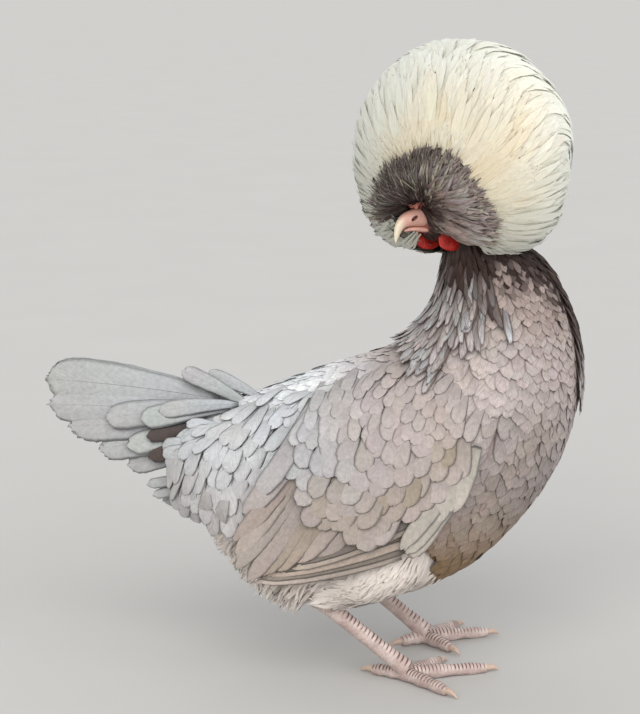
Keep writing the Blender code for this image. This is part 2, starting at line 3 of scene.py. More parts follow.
import bmesh
import bpy
import numpy as np
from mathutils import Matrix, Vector
from mathutils.bvhtree import BVHTree
from mathutils.kdtree import KDTree


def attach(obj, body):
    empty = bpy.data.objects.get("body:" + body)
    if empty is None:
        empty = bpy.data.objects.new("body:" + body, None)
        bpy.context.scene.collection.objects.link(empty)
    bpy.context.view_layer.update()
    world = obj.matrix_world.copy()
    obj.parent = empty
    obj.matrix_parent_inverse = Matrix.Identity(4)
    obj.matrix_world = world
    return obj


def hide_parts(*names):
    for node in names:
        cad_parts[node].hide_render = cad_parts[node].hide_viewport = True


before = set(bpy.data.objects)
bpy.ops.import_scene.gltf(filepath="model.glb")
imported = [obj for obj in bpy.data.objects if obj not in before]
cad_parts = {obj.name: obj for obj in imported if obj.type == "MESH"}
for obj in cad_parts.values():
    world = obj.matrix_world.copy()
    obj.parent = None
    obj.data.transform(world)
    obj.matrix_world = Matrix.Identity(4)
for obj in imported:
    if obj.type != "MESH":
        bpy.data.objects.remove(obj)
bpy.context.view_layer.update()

mm = 0.001
fullTurn = 2 * math.pi
sides = {"right": -1, "left": 1}
chance = np.random.default_rng(11)

# Plain helpers


def unit(v):
    return v / np.maximum(np.linalg.norm(v, axis=-1, keepdims=True), 1e-12)


def smooth(low, high, x):
    t = np.clip((np.asarray(x, float) - low) / (high - low), 0, 1)
    return t * t * (3 - 2 * t)


def blend(a, b, share):
    share = np.asarray(share, float)[..., None]
    return np.asarray(a, float) * (1 - share) + np.asarray(b, float) * share


def catmull(rows, s):
    # smooth values at places s along a list of rows
    rows = np.asarray(rows, float)
    s = np.asarray(s, float)
    last = len(rows) - 1
    i = np.clip(s.astype(int), 0, last - 1)
    t = (s - i)[..., None]
    a, b, c, d = (rows[np.clip(i + k, 0, last)] for k in (-1, 0, 1, 2))
    return 0.5 * (2 * b + (c - a) * t + (2 * a - 5 * b + 4 * c - d) * t**2 + (3 * b - 3 * c + d - a) * t**3)


def spread(points, share):
    return catmull(points, np.asarray(share) * (len(points) - 1))


def columns(*values):
    # numbers and arrays side by side, one row for each feather
    return np.stack(np.broadcast_arrays(*values), -1).astype(float)


def pick(mask, *arrays):
    return [array[mask] for array in arrays]


def same(colour, count):
    return np.repeat(np.asarray(colour, float)[None], count, 0)


def layFlat(way, normal, share=1.0):
    # turns a way into the surface that has this normal
    return unit(way - normal * np.sum(way * normal, -1, keepdims=True) * share)


def treeOf(points):
    tree = KDTree(len(points))
    for i, point in enumerate(points):
        tree.insert(point, i)
    tree.balance()
    return tree


def thinOut(points, apart):
    # keeps points that lie at least their own distance from those kept before
    tree = treeOf(points)
    free = np.ones(len(points), bool)
    kept = []
    for i, point in enumerate(points):
        if free[i]:
            kept.append(i)
            for _, j, _ in tree.find_range(point, apart[i]):
                free[j] = False
    return np.array(kept)


# Mesh helpers


def placeMesh(mesh, material, smoothFaces=True):
    mesh.materials.append(material)
    mesh.polygons.foreach_set("use_smooth", [smoothFaces] * len(mesh.polygons))
    piece = bpy.data.objects.new(mesh.name, mesh)
    bpy.context.scene.collection.objects.link(piece)
    return piece


def finishPiece(name, bm, material, smoothFaces=True):
    mesh = bpy.data.meshes.new(name)
    bm.to_mesh(mesh)
    bm.free()
    return placeMesh(mesh, material, smoothFaces)


def wrapGrid(cols, rows, place, bm=None):
    # a flat grid wrapped round a form: place turns (round, along), each 0 to 1, into a point in mm
    new = bmesh.new()
    wrapMap = new.loops.layers.uv.new("Wrap")
    bmesh.ops.create_grid(new, x_segments=cols, y_segments=rows, size=0.5)
    for face in new.faces:
        for loop in face.loops:
            loop[wrapMap].uv = (loop.vert.co.x + 0.5, loop.vert.co.y + 0.5)
    for vert in new.verts:
        vert.co = Vector(place(vert.co.x + 0.5, vert.co.y + 0.5)) * mm
    bmesh.ops.remove_doubles(new, verts=new.verts, dist=0.01 * mm)
    bmesh.ops.recalc_face_normals(new, faces=new.faces)
    if bm is None:
        return new
    holder = bpy.data.meshes.new("holder")
    new.to_mesh(holder)
    new.free()
    bm.from_mesh(holder)
    bpy.data.meshes.remove(holder)
    return bm


def joinPieces(name, pieces, material):
    bm = bmesh.new()
    for piece in pieces:
        bm.from_mesh(piece.data)
        bpy.data.objects.remove(piece)
    return finishPiece(name, bm, material)


def pointsOf(mesh):
    points = np.empty(len(mesh.vertices) * 3)
    mesh.vertices.foreach_get("co", points)
    return points.reshape(-1, 3) / mm


def setValues(mesh, name, values):
    mesh.attributes.new(name, "FLOAT", "POINT").data.foreach_set("value", values)


def setColours(mesh, name, rgb):
    layer = mesh.color_attributes.new(name, "FLOAT_COLOR", "POINT")
    layer.data.foreach_set("color", np.hstack([rgb, np.ones((len(rgb), 1))]).ravel())


# Node helpers


def addNode(tree, kind, **settings):
    node = tree.nodes.new(kind)
    for key, value in settings.items():
        setattr(node, key, value)
    return node


def link(tree, source, target):
    if isinstance(source, bpy.types.NodeSocket):
        tree.links.new(source, target)
    else:
        target.default_value = source


def linked(tree, kind, *values, **settings):
    # a node with its first inputs filled in order
    node = addNode(tree, kind, **settings)
    for value, socket in zip(values, node.inputs):
        link(tree, value, socket)
    return node.outputs


def calc(tree, operation, *values):
    return linked(tree, "ShaderNodeMath", *values, operation=operation)[0]


def attribute(tree, name, output="Fac"):
    return addNode(tree, "ShaderNodeAttribute", attribute_name=name).outputs[output]


def objectPlace(tree):
    return addNode(tree, "ShaderNodeTexCoord").outputs["Object"]


def uvParts(tree, name):
    return linked(tree, "ShaderNodeSeparateXYZ", addNode(tree, "ShaderNodeUVMap", uv_map=name).outputs[0])[:2]


def ramp(tree, value, low, high):
    node = addNode(tree, "ShaderNodeMapRange", interpolation_type="SMOOTHSTEP")
    link(tree, value, node.inputs["Value"])
    link(tree, low, node.inputs["From Min"])
    link(tree, high, node.inputs["From Max"])
    return node.outputs[0]


def mixColour(tree, share, a, b, kind="MIX"):
    node = addNode(tree, "ShaderNodeMix", data_type="RGBA", blend_type=kind)
    link(tree, share, node.inputs["Factor"])
    for colour, socket in ((a, node.inputs["A"]), (b, node.inputs["B"])):
        link(tree, colour if isinstance(colour, bpy.types.NodeSocket) else (*colour, 1), socket)
    return node.outputs["Result"]


def noise(tree, vector, scale, detail=3.0, rough=0.55):
    node = addNode(tree, "ShaderNodeTexNoise")
    link(tree, vector, node.inputs["Vector"])
    node.inputs["Scale"].default_value = scale
    node.inputs["Detail"].default_value = detail
    node.inputs["Roughness"].default_value = rough
    return node.outputs["Fac"]


def cells(tree, feature, scale):
    node = addNode(tree, "ShaderNodeTexVoronoi", feature=feature)
    link(tree, objectPlace(tree), node.inputs["Vector"])
    node.inputs["Scale"].default_value = scale
    return node.outputs["Distance"]


def bump(tree, height, strength, distance):
    node = addNode(tree, "ShaderNodeBump")
    link(tree, height, node.inputs["Height"])
    node.inputs["Strength"].default_value = strength
    node.inputs["Distance"].default_value = distance
    return node.outputs["Normal"]


def newMaterial(name, **sockets):
    # sockets are named as on the shader, with _ for a space
    material = bpy.data.materials.new(name)
    material.use_nodes = True
    shader = material.node_tree.nodes["Principled BSDF"]
    for key, value in sockets.items():
        shader.inputs[key.replace("_", " ")].default_value = value
    return material, material.node_tree, shader


def newGroup(name, inputs, outputs):
    group = bpy.data.node_groups.new(name, "ShaderNodeTree")
    for key, value in inputs.items():
        socket = group.interface.new_socket(name=key, in_out="INPUT", socket_type="NodeSocketFloat")
        socket.default_value = value
    for key in outputs:
        group.interface.new_socket(name=key, in_out="OUTPUT", socket_type="NodeSocketFloat")
    return group, group.nodes.new("NodeGroupInput").outputs, group.nodes.new("NodeGroupOutput").inputs


# Every feather carries a Vane map, across and along it from 0 to 1, a Barb map in cm, and a seed.
def makeVaneGroup():
    inputs = {"Lace": 0.16, "Tip": 0.2, "Shaft": 0.05, "Barbs": 4.0, "Lean": 2.2, "Mottle": 6.0}
    group, given, wanted = newGroup("vane", inputs, ("Edge", "Shaft", "Streak", "Mottle", "Height"))

    def do(operation, *values):
        return calc(group, operation, *values)

    vaneAcross, vaneAlong = uvParts(group, "Vane")
    barbAcross, barbAlong = uvParts(group, "Barb")
    seed = attribute(group, "seed")
    # barbs run outward and towards the tip on both sides of the shaft
    slant = do("SUBTRACT", barbAlong, do("MULTIPLY", do("ABSOLUTE", barbAcross), given["Lean"]))
    comb = [do("MULTIPLY", slant, given["Barbs"]), do("MULTIPLY", barbAcross, 0.7), do("MULTIPLY", seed, 37.0)]
    streak = noise(group, linked(group, "ShaderNodeCombineXYZ", *comb)[0], 2.0, 2.0, 0.6)
    link(group, streak, wanted["Streak"])
    across = do("ABSOLUTE", do("MULTIPLY_ADD", vaneAcross, 2.0, -1.0))
    beforeTip = do("SUBTRACT", 1.0, given["Tip"])
    tipward = do("DIVIDE", do("SUBTRACT", vaneAlong, beforeTip), given["Tip"])
    uneven = do("MULTIPLY", do("SUBTRACT", streak, 0.5), 0.35)
    nearEdge = do("ADD", do("MAXIMUM", across, tipward), uneven)
    link(group, ramp(group, nearEdge, do("SUBTRACT", 1.0, given["Lace"]), 1.0), wanted["Edge"])
    shaftHalf = do("MULTIPLY", given["Shaft"], do("SUBTRACT", 1.15, vaneAlong))
    shaft = do("SUBTRACT", 1.0, ramp(group, across, 0.0, shaftHalf))
    link(group, shaft, wanted["Shaft"])
    spot = [do("MULTIPLY", barb, given["Mottle"]) for barb in (barbAcross, barbAlong)]
    spot = linked(group, "ShaderNodeCombineXYZ", *spot, do("MULTIPLY", seed, 91.0))[0]
    link(group, noise(group, spot, 0.6, 2.0, 0.6), wanted["Mottle"])
    ridge = do("MULTIPLY", shaft, 0.6)
    link(group, do("ADD", ridge, do("MULTIPLY", streak, 0.8)), wanted["Height"])
    return group


vaneGroup = makeVaneGroup()
# What a feather material has unless its own look says otherwise.
plainLook = {
    "rough": 0.72, "lace": 0.1, "tip": 0.05, "shaft": 0.03, "barbs": 3.0, "lean": 2.2, "streaks": 0.14,
    "spots": 0.16, "laceShare": 0.2, "shaftShare": 0.5, "bump": 0.25, "sheen": 0.15, "gloss": 0.2, "even": 0.3,
}


def featherMaterial(name, own):
    # tone and edge are colours that each feather carries; the group gives its vane, shaft and barbs
    look = {**plainLook, **own}
    material, tree, shader = newMaterial(
        name, Roughness=look["rough"], Specular_IOR_Level=look["gloss"], Sheen_Weight=look["sheen"],
        Sheen_Roughness=0.5,
    )
    vane = addNode(tree, "ShaderNodeGroup", node_tree=vaneGroup)
    for key in ("Lace", "Tip", "Shaft", "Barbs", "Lean"):
        vane.inputs[key].default_value = look[key.lower()]
    streak = ramp(tree, vane.outputs["Streak"], 0.32, 0.66)
    dark = calc(tree, "MULTIPLY_ADD", streak, look["streaks"], 1.0 - look["streaks"])
    mottle = ramp(tree, vane.outputs["Mottle"], 0.25, 0.75)
    spots = calc(tree, "MULTIPLY_ADD", mottle, look["spots"], 1.0 - look["spots"])
    shade = calc(tree, "MULTIPLY", dark, spots)
    grey = linked(tree, "ShaderNodeCombineColor", shade, shade, shade)[0]
    colour = mixColour(tree, 1.0, attribute(tree, "tone", "Color"), grey, "MULTIPLY")
    edgeShare = calc(tree, "MULTIPLY", vane.outputs["Edge"], look["laceShare"])
    colour = mixColour(tree, edgeShare, colour, attribute(tree, "edge", "Color"))
    shaftShare = calc(tree, "MULTIPLY", vane.outputs["Shaft"], look["shaftShare"])
    link(tree, mixColour(tree, shaftShare, colour, look["shaftTone"]), shader.inputs["Base Color"])
    # the coat is lit partly as one soft surface: out is the way up from the skin, turned to the seen side
    relief = bump(tree, vane.outputs["Height"], look["bump"], 0.0006)
    out = attribute(tree, "out", "Vector")
    seen = addNode(tree, "ShaderNodeNewGeometry").outputs["Normal"]
    facing = linked(tree, "ShaderNodeVectorMath", out, seen, operation="DOT_PRODUCT")["Value"]
    turned = addNode(tree, "ShaderNodeVectorMath", operation="SCALE")
    link(tree, out, turned.inputs[0])
    link(tree, calc(tree, "SIGN", facing), turned.inputs["Scale"])
    even = addNode(tree, "ShaderNodeMix", data_type="VECTOR")
    link(tree, look["even"], even.inputs["Factor"])
    link(tree, relief, even.inputs[4])
    link(tree, turned.outputs[0], even.inputs[5])
    soft = linked(tree, "ShaderNodeVectorMath", even.outputs[1], operation="NORMALIZE")[0]
    link(tree, soft, shader.inputs["Normal"])
    return material


# Outlines: share of the length, and share of the full width there.
featherOutlines = {
    "scale": [
        (0, 0.5), (0.25, 0.84), (0.5, 1), (0.7, 0.98), (0.82, 0.87), (0.91, 0.66), (0.97, 0.4), (1, 0.12),
    ],
    "strip": [(0, 0.6), (0.3, 0.95), (0.7, 1), (0.86, 0.86), (0.94, 0.62), (0.98, 0.36), (1, 0.12)],
    "paddle": [
        (0, 0.3), (0.25, 0.62), (0.6, 0.95), (0.78, 1), (0.88, 0.9), (0.94, 0.72), (0.98, 0.44), (1, 0.12),
    ],
    "broad": [
        (0, 0.3), (0.25, 0.6), (0.6, 0.93), (0.84, 1), (0.92, 0.92), (0.96, 0.75), (0.985, 0.5), (1, 0.14),
    ],
    "lock": [(0, 0.4), (0.3, 0.8), (0.6, 1), (0.82, 0.8), (0.94, 0.45), (1, 0.12)],
    "silk": [(0, 0.75), (0.3, 1), (0.6, 0.98), (0.8, 0.72), (0.93, 0.34), (1, 0.04)],
    "wisp": [(0, 0.7), (0.4, 1), (0.75, 0.7), (1, 0.1)],
}


def featherForm(outline, across, along, solid=False):
    # one flat feather as a grid: its places across, along and up, and its faces
    bm = bmesh.new()
    bmesh.ops.create_grid(bm, x_segments=across, y_segments=along, size=1)
    if solid:
        rim = {v for v in bm.verts if v.is_boundary}
        copied = bmesh.ops.duplicate(bm, geom=bm.verts[:] + bm.edges[:] + bm.faces[:])["geom"]
        lowerFaces = [g for g in copied if isinstance(g, bmesh.types.BMFace)]
        below = {g for g in copied if isinstance(g, bmesh.types.BMVert) and not g.is_boundary}
        for v in bm.verts:
            if v in below:
                v.co.z = -1
            elif v not in rim and not v.is_boundary:
                v.co.z = 1
        bmesh.ops.reverse_faces(bm, faces=lowerFaces)
        bmesh.ops.remove_doubles(bm, verts=bm.verts, dist=1e-4)
    bm.verts.index_update()
    places = np.array([v.co[:] for v in bm.verts])
    faces = np.array([[v.index for v in face.verts] for face in bm.faces])
    bm.free()
    t = (places[:, 1] + 1) / 2
    t = 1 - (1 - t) ** 2  # rows lie closer towards the tip
    share = np.interp(t, *zip(*featherOutlines[outline]))
    return {"u": places[:, 0], "t": t, "up": places[:, 2], "share": share, "faces": faces}


def curve(root, middle, tip, t):
    # the feather's line through its middle, and the corner that pulls it there
    bend = middle * 2 - (root + tip) / 2
    return root * (1 - t) ** 2 + bend * 2 * t * (1 - t) + tip * t**2, bend


def shapeLot(form, lot, look):
    # places every point of a lot of feathers at once
    u, t, share, lift = (form[key][None, :, None] for key in ("u", "t", "share", "up"))
    root, middle, tip = (lot[key][:, None] for key in ("root", "middle", "tip"))
    ragged = chance.normal(0, 1, (len(root), len(form["u"]), 1))
    centre, bend = curve(root, middle, tip, t)
    along = unit((bend - root) * (1 - t) + (tip - bend) * t)
    length = np.linalg.norm(tip - root, axis=-1, keepdims=True)
    up = unit(lot["rootUp"][:, None] * (1 - t) + lot["tipUp"][:, None] * t)
    side = unit(np.cross(along, up))
    up = np.cross(side, along)
    roll = lot["roll"][:, None, None]
    side, up = side * np.cos(roll) + up * np.sin(roll), up * np.cos(roll) - side * np.sin(roll)
    width = lot["width"][:, None, None]
    half = width * share / 2 * (1 + look["ragged"] * ragged)
    sway = lot["sway"][:, None, None] if "sway" in lot else 0.0
    points = centre + side * (u * half + sway * length * t * (1 - t) * 2)
    points = points - up * (look["camber"] * width * share * u**2 + look["curl"] * length * t**4)
    points = points + up * lift * look.get("thick", 0) / 2 * (1 - 0.6 * t)
    points = points + along * length * look["fray"] * ragged * smooth(0.75, 1, t)
    points = points - along * width * look["notch"] * u**2 * smooth(0.6, 1, t)
    barbs = np.stack([(u * half)[..., 0] / 10, (t * length)[..., 0] / 10], -1)
    return points * mm, barbs


toneTurns = (0.35, 0.95)  # where along a feather its root's tone gives way to its tip's
patchSize = 0.003  # of one feather on the OFBake map


def layCoat(name, material, lots):
    # lots: (form, lot, look) each; they become one mesh with its maps and colours
    points, faces, vanes, barbs, places, tones, edges, seeds, outs = ([] for _ in range(9))
    start = 0
    for form, lot, look in lots:
        shaped, barb = shapeLot(form, lot, look)
        count, size = shaped.shape[:2]
        u, t = form["u"], form["t"]
        points.append(shaped.reshape(-1, 3))
        index = form["faces"][None] + start + (np.arange(count) * size)[:, None, None]
        faces.append(index.reshape(-1, 4))
        start += count * size
        vanes.append(np.tile(np.stack([(u + 1) / 2, t], -1), (count, 1)))
        barbs.append(barb.reshape(-1, 2))
        patch = np.stack([u * patchSize / 2, (t - 0.5) * patchSize], -1)[None] + lot["place"][:, None]
        places.append(patch.reshape(-1, 2))
        weight = smooth(*toneTurns, t)[None, :, None]
        tone = lot["tone"][:, None] * (1 - weight) + lot.get("tipTone", lot["tone"])[:, None] * weight
        tones.append(tone.reshape(-1, 3))
        edges.append(np.repeat(lot["edge"], size, 0))
        outs.append(np.repeat(unit(lot["rootUp"] + lot["tipUp"]), size, 0))
        seeds.append(np.repeat(chance.uniform(0, 1, count), size))
    points, faces = np.concatenate(points), np.concatenate(faces)
    mesh = bpy.data.meshes.new(name)
    mesh.from_pydata(points, [], faces)
    for key, values in (("OFBake", places), ("Vane", vanes), ("Barb", barbs)):
        layer = mesh.uv_layers.new(name=key)
        layer.data.foreach_set("uv", np.concatenate(values)[faces.ravel()].ravel())
    for key, values in (("tone", tones), ("edge", edges)):
        setColours(mesh, key, np.clip(np.concatenate(values), 0, 1))
    setValues(mesh, "seed", np.concatenate(seeds))
    outward = mesh.attributes.new("out", "FLOAT_VECTOR", "POINT")
    outward.data.foreach_set("vector", np.concatenate(outs).ravel())
    piece = placeMesh(mesh, material)
    mesh.update()
    print("laid", name, sum(len(lot["root"]) for _, lot, _ in lots), "feathers,", len(faces) * 2, "triangles")
    return piece


def chosen(lot, mask):
    return {key: value[mask] for key, value in lot.items()}


def varied(tone, by, grey=0.6):
    # each feather a little lighter or darker, and a little warmer or cooler
    value = 1 + chance.normal(0, by, (len(tone), 1))
    warm = chance.normal(0, by * (1 - grey), (len(tone), 3))
    return np.clip(tone * (value + warm), 0.005, 0.95)


def paintLot(lot, **tones):
    # tones: a colour for each feather, how far it varies, and how grey that change is
    for key, settings in tones.items():
        lot[key] = varied(*settings)


def loosen(lot, roll, sway=None):
    # feathers turned and bent a little, each its own way
    lot["roll"] = chance.normal(0, roll, len(lot["root"]))
    if sway is not None:
        lot["sway"] = chance.normal(0, sway, len(lot["root"]))


# The body's form, as in the frame

# Tail end first: back x, back z, belly x, belly z, half width, centre y.
bodyStations = [
    (-86, 178, -88, 168, 5, 0), (-76, 190, -82, 142, 24, 0), (-54, 198, -68, 105, 45, 0),
    (-25, 208, -35, 80, 62, 0),
    (8, 221, 0, 63, 72, 0), (38, 231, 38, 54, 76, 0), (58, 238, 78, 59, 76, 0), (72, 248, 116, 79, 72, 0),
    (82, 261, 149, 111, 65, 0), (88, 275, 174, 149, 57, 0), (90, 288, 187, 190, 50, 0),
    (91, 299, 188, 230, 44, 0), (92, 309, 179, 264, 39, 0), (95, 319, 161, 295, 32, -2),
    (97, 328, 138, 308, 22, -7), (98, 333, 122, 318, 15, -11),
]
lastStation = len(bodyStations) - 1
slopeStep = 0.02


def bodyPoint(s, a):
    # s runs from the tail end to the head, a from the back round the left side
    r = catmull(bodyStations, np.clip(s, 0, lastStation))
    back = np.stack([r[..., 0], r[..., 5], r[..., 1]], -1)
    belly = np.stack([r[..., 2], r[..., 5], r[..., 3]], -1)
    side = np.zeros_like(back)
    side[..., 1] = np.maximum(r[..., 4], 0.5)
    a = np.asarray(a, float)[..., None]
    return (back + belly) / 2 + (back - belly) / 2 * np.cos(a) + side * np.sin(a)


def bodySlopes(s, a):
    toHead = bodyPoint(s + slopeStep, a) - bodyPoint(s - slopeStep, a)
    return toHead, bodyPoint(s, a + slopeStep) - bodyPoint(s, a - slopeStep)


def bodyFrame(s, a):
    # point, outward normal and the way to the tail
    toHead, onward = bodySlopes(s, a)
    return bodyPoint(s, a), unit(np.cross(toHead, onward)), unit(-toHead)


def bodySamples(count, low, high):
    # random places, even over the surface, between two stations
    s = chance.uniform(low, high, count * 4)
    a = chance.uniform(0, fullTurn, count * 4)
    area = np.linalg.norm(np.cross(*bodySlopes(s, a)), axis=-1)
    keep = chance.uniform(0, 1, len(s)) < area / np.percentile(area, 99.5)
    return s[keep][:count], a[keep][:count]


def bodyPlace(s, a):
    # where a feather lies on the unwrapped body
    return np.stack([0.02 + 0.96 * s / lastStation, 0.02 + 0.96 * (a % fullTurn) / fullTurn], -1)


def turnFromBack(a):
    return np.abs((a + math.pi) % fullTurn - math.pi)


# The head's own axes: it looks back over the bird's right side.
headCentre = np.array([92, -16, 327.5])
headForward = unit(np.array([-0.82, -0.56, -0.06]))
headLeft = unit(np.cross([0, 0, 1], headForward))
headUp = np.cross(headForward, headLeft)
# Outlines from the side: top forward and up, underside forward and up, half width.
skull = [
    (-25, 3, -25, -1, 2), (-22, 10, -22, -8, 8), (-13, 17, -13, -13, 14), (-2, 20.5, -2, -14.5, 15.5),
    (9, 17.5, 9, -13.5, 14.5), (16, 13.5, 15, -11.5, 11.5), (21, 11.5, 19, -9, 8.5), (24, 6, 22, -4, 4.5),
]
upperBill = [
    (14, 10, 14, -2.6, 7.0), (21.5, 10.8, 21.5, -2.0, 6.4), (28, 10.6, 27.5, -1.2, 5.5),
    (33.2, 9.6, 32.6, -0.8, 4.6),
    (37.6, 7.8, 36.4, -1.2, 3.8), (41.0, 5.0, 39.0, -2.8, 3.1), (43.3, 1.4, 40.6, -4.9, 2.4),
    (44.4, -2.8, 41.8, -7.2, 1.8), (44.7, -7, 43.1, -9.2, 1.1), (44.3, -10.2, 44.0, -10.6, 0.3),
]
lowerBill = [
    (14, -2.6, 14, -7, 6.2), (21.5, -2.0, 21.5, -6.0, 5.0), (28, -1.2, 27, -4.8, 3.7),
    (32.6, -1.2, 31.4, -4.2, 2.5),
    (35.4, -2.0, 34.8, -4.0, 1.5), (36.8, -2.8, 36.4, -3.8, 0.6),
]


def headPoint(forward, sideways, up):
    return headCentre + headForward * forward + headLeft * sideways + headUp * up


def inHead(points):
    # head coordinates of points
    d = points - headCentre
    return np.stack([d @ headForward, d @ headLeft, d @ headUp], -1)


def headLoft(stations, shrink=0.0, square=1.0):
    # place function for wrapGrid: rings round the head's axis, closed at both ends
    def place(around, along):
        r = catmull(stations, along * (len(stations) - 1))
        top, low = headPoint(r[0], 0, r[1]), headPoint(r[2], 0, r[3])
        half = (top - low) / 2
        grow = max(0.0, 1 - shrink / max(np.linalg.norm(half), 1e-6)) if 0.001 < along < 0.999 else 0.0
        a = around * fullTurn
        cosine = math.copysign(abs(math.cos(a)) ** square, math.cos(a))
        sine = math.copysign(abs(math.sin(a)) ** square, math.sin(a))
        return (top + low) / 2 + (half * cosine + headLeft * max(r[4] - shrink, 0.1) * sine) * grow
    return place


crestCentre = np.array([102, -5, 374.0])
crestRadius = 73.5
facePole = unit(np.array([-0.315, -0.84, -0.43]))  # the crest's feathers part here and lie away from it
faceAcross = unit(np.cross(facePole, [0, 0, 1]))
faceUp = np.cross(faceAcross, facePole)


def crestWay(polar, turn):
    # direction from the crest's centre; turn 0 is up, and 90 degrees the bill's side
    polar, turn = np.radians(polar)[..., None], np.radians(turn)[..., None]
    return facePole * np.cos(polar) + (faceAcross * np.sin(turn) + faceUp * np.cos(turn)) * np.sin(polar)


def globe(way, radius):
    # a place in the crest: round above, and fuller below the middle
    fullness = 2.7
    flat = np.hypot(way[..., 0], way[..., 1])
    low = (way[..., 2] < 0) & (flat > 0.2)
    depth = np.abs(np.clip(way[..., 2], -0.999, 0.999))
    grow = np.where(low, (1 - depth**fullness) ** (1 / fullness) / np.maximum(flat, 0.2), 1)
    fuller = np.stack([way[..., 0] * grow, way[..., 1] * grow, way[..., 2]], -1)
    return crestCentre + fuller * np.asarray(radius, float)[..., None]


legs = {
    "right": {
        "knee": (62, -44, 100), "hock": (4, -42, 63), "ball": (66, -36, 9),
        "toes": {"inner": (98, 2), "middle": (134, -17), "outer": (100, -74), "hind": (34, -18)},
    },
    "left": {
        "knee": (76, 44, 100), "hock": (22, 43, 63), "ball": (84, 42, 9),
        "toes": {"inner": (108, 13), "middle": (141, 60), "outer": (116, 82), "hind": (56, 31)},
    },
}
for leg in legs.values():
    for joint in ("knee", "hock", "ball"):
        leg[joint] = np.array(leg[joint], float)


def tubePlace(points, radii, squash=1.0):
    # place function for a round tube along points, closed at both ends
    points = np.asarray(points, float)
    radii = np.asarray(radii, float)[:, None]
    last = len(points) - 1

    def place(around, along):
        s = along * last
        centre, radius = catmull(points, s), catmull(radii, s)[0]
        forward = unit(catmull(points, min(s + 0.05, last)) - catmull(points, max(s - 0.05, 0)))
        side = unit(np.cross(forward, [0, 0, 1]))
        up = np.cross(side, forward)
        if not 0.0005 < along < 0.9995:
            radius = 0
        a = around * fullTurn
        return centre + side * radius * squash * math.sin(a) + up * radius * math.cos(a)
    return place


# Colours, all linear

colours = {
    "lavender": (0.53, 0.455, 0.435),
    "cool": (0.55, 0.565, 0.58),
    "pale": (0.62, 0.60, 0.57),
    "tan": (0.49, 0.40, 0.31),
    "earth": (0.25, 0.15, 0.06),
    "mottled": (0.42, 0.33, 0.30),
    "brown": (0.13, 0.085, 0.07),
    "sooty": (0.17, 0.13, 0.115),
    "dark": (0.042, 0.024, 0.020),
    "slate": (0.085, 0.065, 0.062),
    "down": (0.78, 0.70, 0.64),
    "white": (0.70, 0.72, 0.67),
    "cream": (0.67, 0.59, 0.44),
    "faceSkin": (0.36, 0.11, 0.09),
}
colours = {key: np.array(value) for key, value in colours.items()}


def drift(points, size, turn):
    # a slow uneven change over the body, about -1 to 1
    x, y, z = (np.asarray(points, float) / size).T
    first = np.sin(1.3 * x + 2.1 * np.sin(0.9 * z + turn) + 0.5 * y)
    second = np.sin(1.1 * z + 1.7 * np.sin(1.2 * x + 0.7 * y + 2 * turn))
    return (first + second) / 2


def patches(points, size, turn):
    return np.clip(drift(points, size, turn), 0, 1)


# Where the body's markings begin and end: by station, or by x or z in mm.
marks = {
    "front": (7.5, 9.5), "neck": (11.9, 12.7), "mottled": (10.6, 12.0), "flecks": (13.4, 12.4),
    "brownEdges": (8.8, 11.4), "low": (172, 88), "lowFront": (10, 90), "coolRear": (90, 0),
    "coolHigh": (135, 200), "paintedLightHigh": (185, 215), "paintedLightRear": (70, 20),
    "cropPlace": (150, 175), "cropSize": (62, 20), "brownFront": (-40, 60),
    "breastHigh": (155, 185), "breastTop": (10.5, 9.5), "breastFoot": (7.5, 8.5),
}


def bodyTone(points, s, a):
    # centre and edge colours of the body's feathers by place
    count = len(points)
    x, z = points[:, 0], points[:, 2]

    def within(name, value):
        return smooth(*marks[name], value)

    front = smooth(0.82, 0.98, -np.cos(a)) * within("front", s)
    back = smooth(0.2, 0.9, np.cos(a))
    wander = chance.normal(0, 0.22, count) + 0.35 * drift(points, 9, 1.0)
    neck = within("neck", s + wander + 1.3 * front + 1.0 * back)
    cool = within("coolRear", x) * within("coolHigh", z)
    tone = blend(colours["lavender"], colours["cool"], cool)
    tone = blend(tone, colours["earth"], within("low", z) * within("lowFront", x) * 0.95)
    tone = blend(tone, colours["tan"], patches(points, 22, 2.0) * 0.35 * (1 - cool))
    tone = blend(tone, colours["mottled"], within("mottled", s + 1.2 * front + 0.6 * back + wander) * 0.9)
    # painted light: the top of the back, towards the rear, is painted up to 65% brighter for the light from
    # above
    tone = tone * (1 + within("paintedLightHigh", z) * within("paintedLightRear", x) * 0.65)[:, None]
    # towards the head the flecks fade out and the neck is painted dark times 0.9: its own dark band, darkened
    # further as painted shade under the crest
    flecks = (chance.uniform(0, 1, count) < 0.24) * within("flecks", s) * 0.75
    tone = blend(tone, blend(colours["dark"] * 0.9, colours["mottled"] * 0.7, flecks), neck)
    cropX, cropZ = marks["cropPlace"]
    crop = within("cropSize", np.hypot(x - cropX, z - cropZ))
    tone = tone * (1 - 0.28 * crop)[:, None]
    breast = 0.12 * within("breastHigh", z) * within("breastTop", s) * within("breastFoot", s)
    tone = tone * (1 + breast * (1 - back))[:, None]
    brownish = 0.18 + 0.75 * crop + 0.9 * within("brownEdges", s + 1.2 * front) + 0.25 * drift(points, 14, 0.4)
    brownish = np.clip(brownish, 0, 1) * within("brownFront", x)
    edge = blend(tone * 0.60, colours["brown"], brownish)
    return tone, blend(edge, colours["dark"], neck)


# Skin: one closed surface under the whole coat


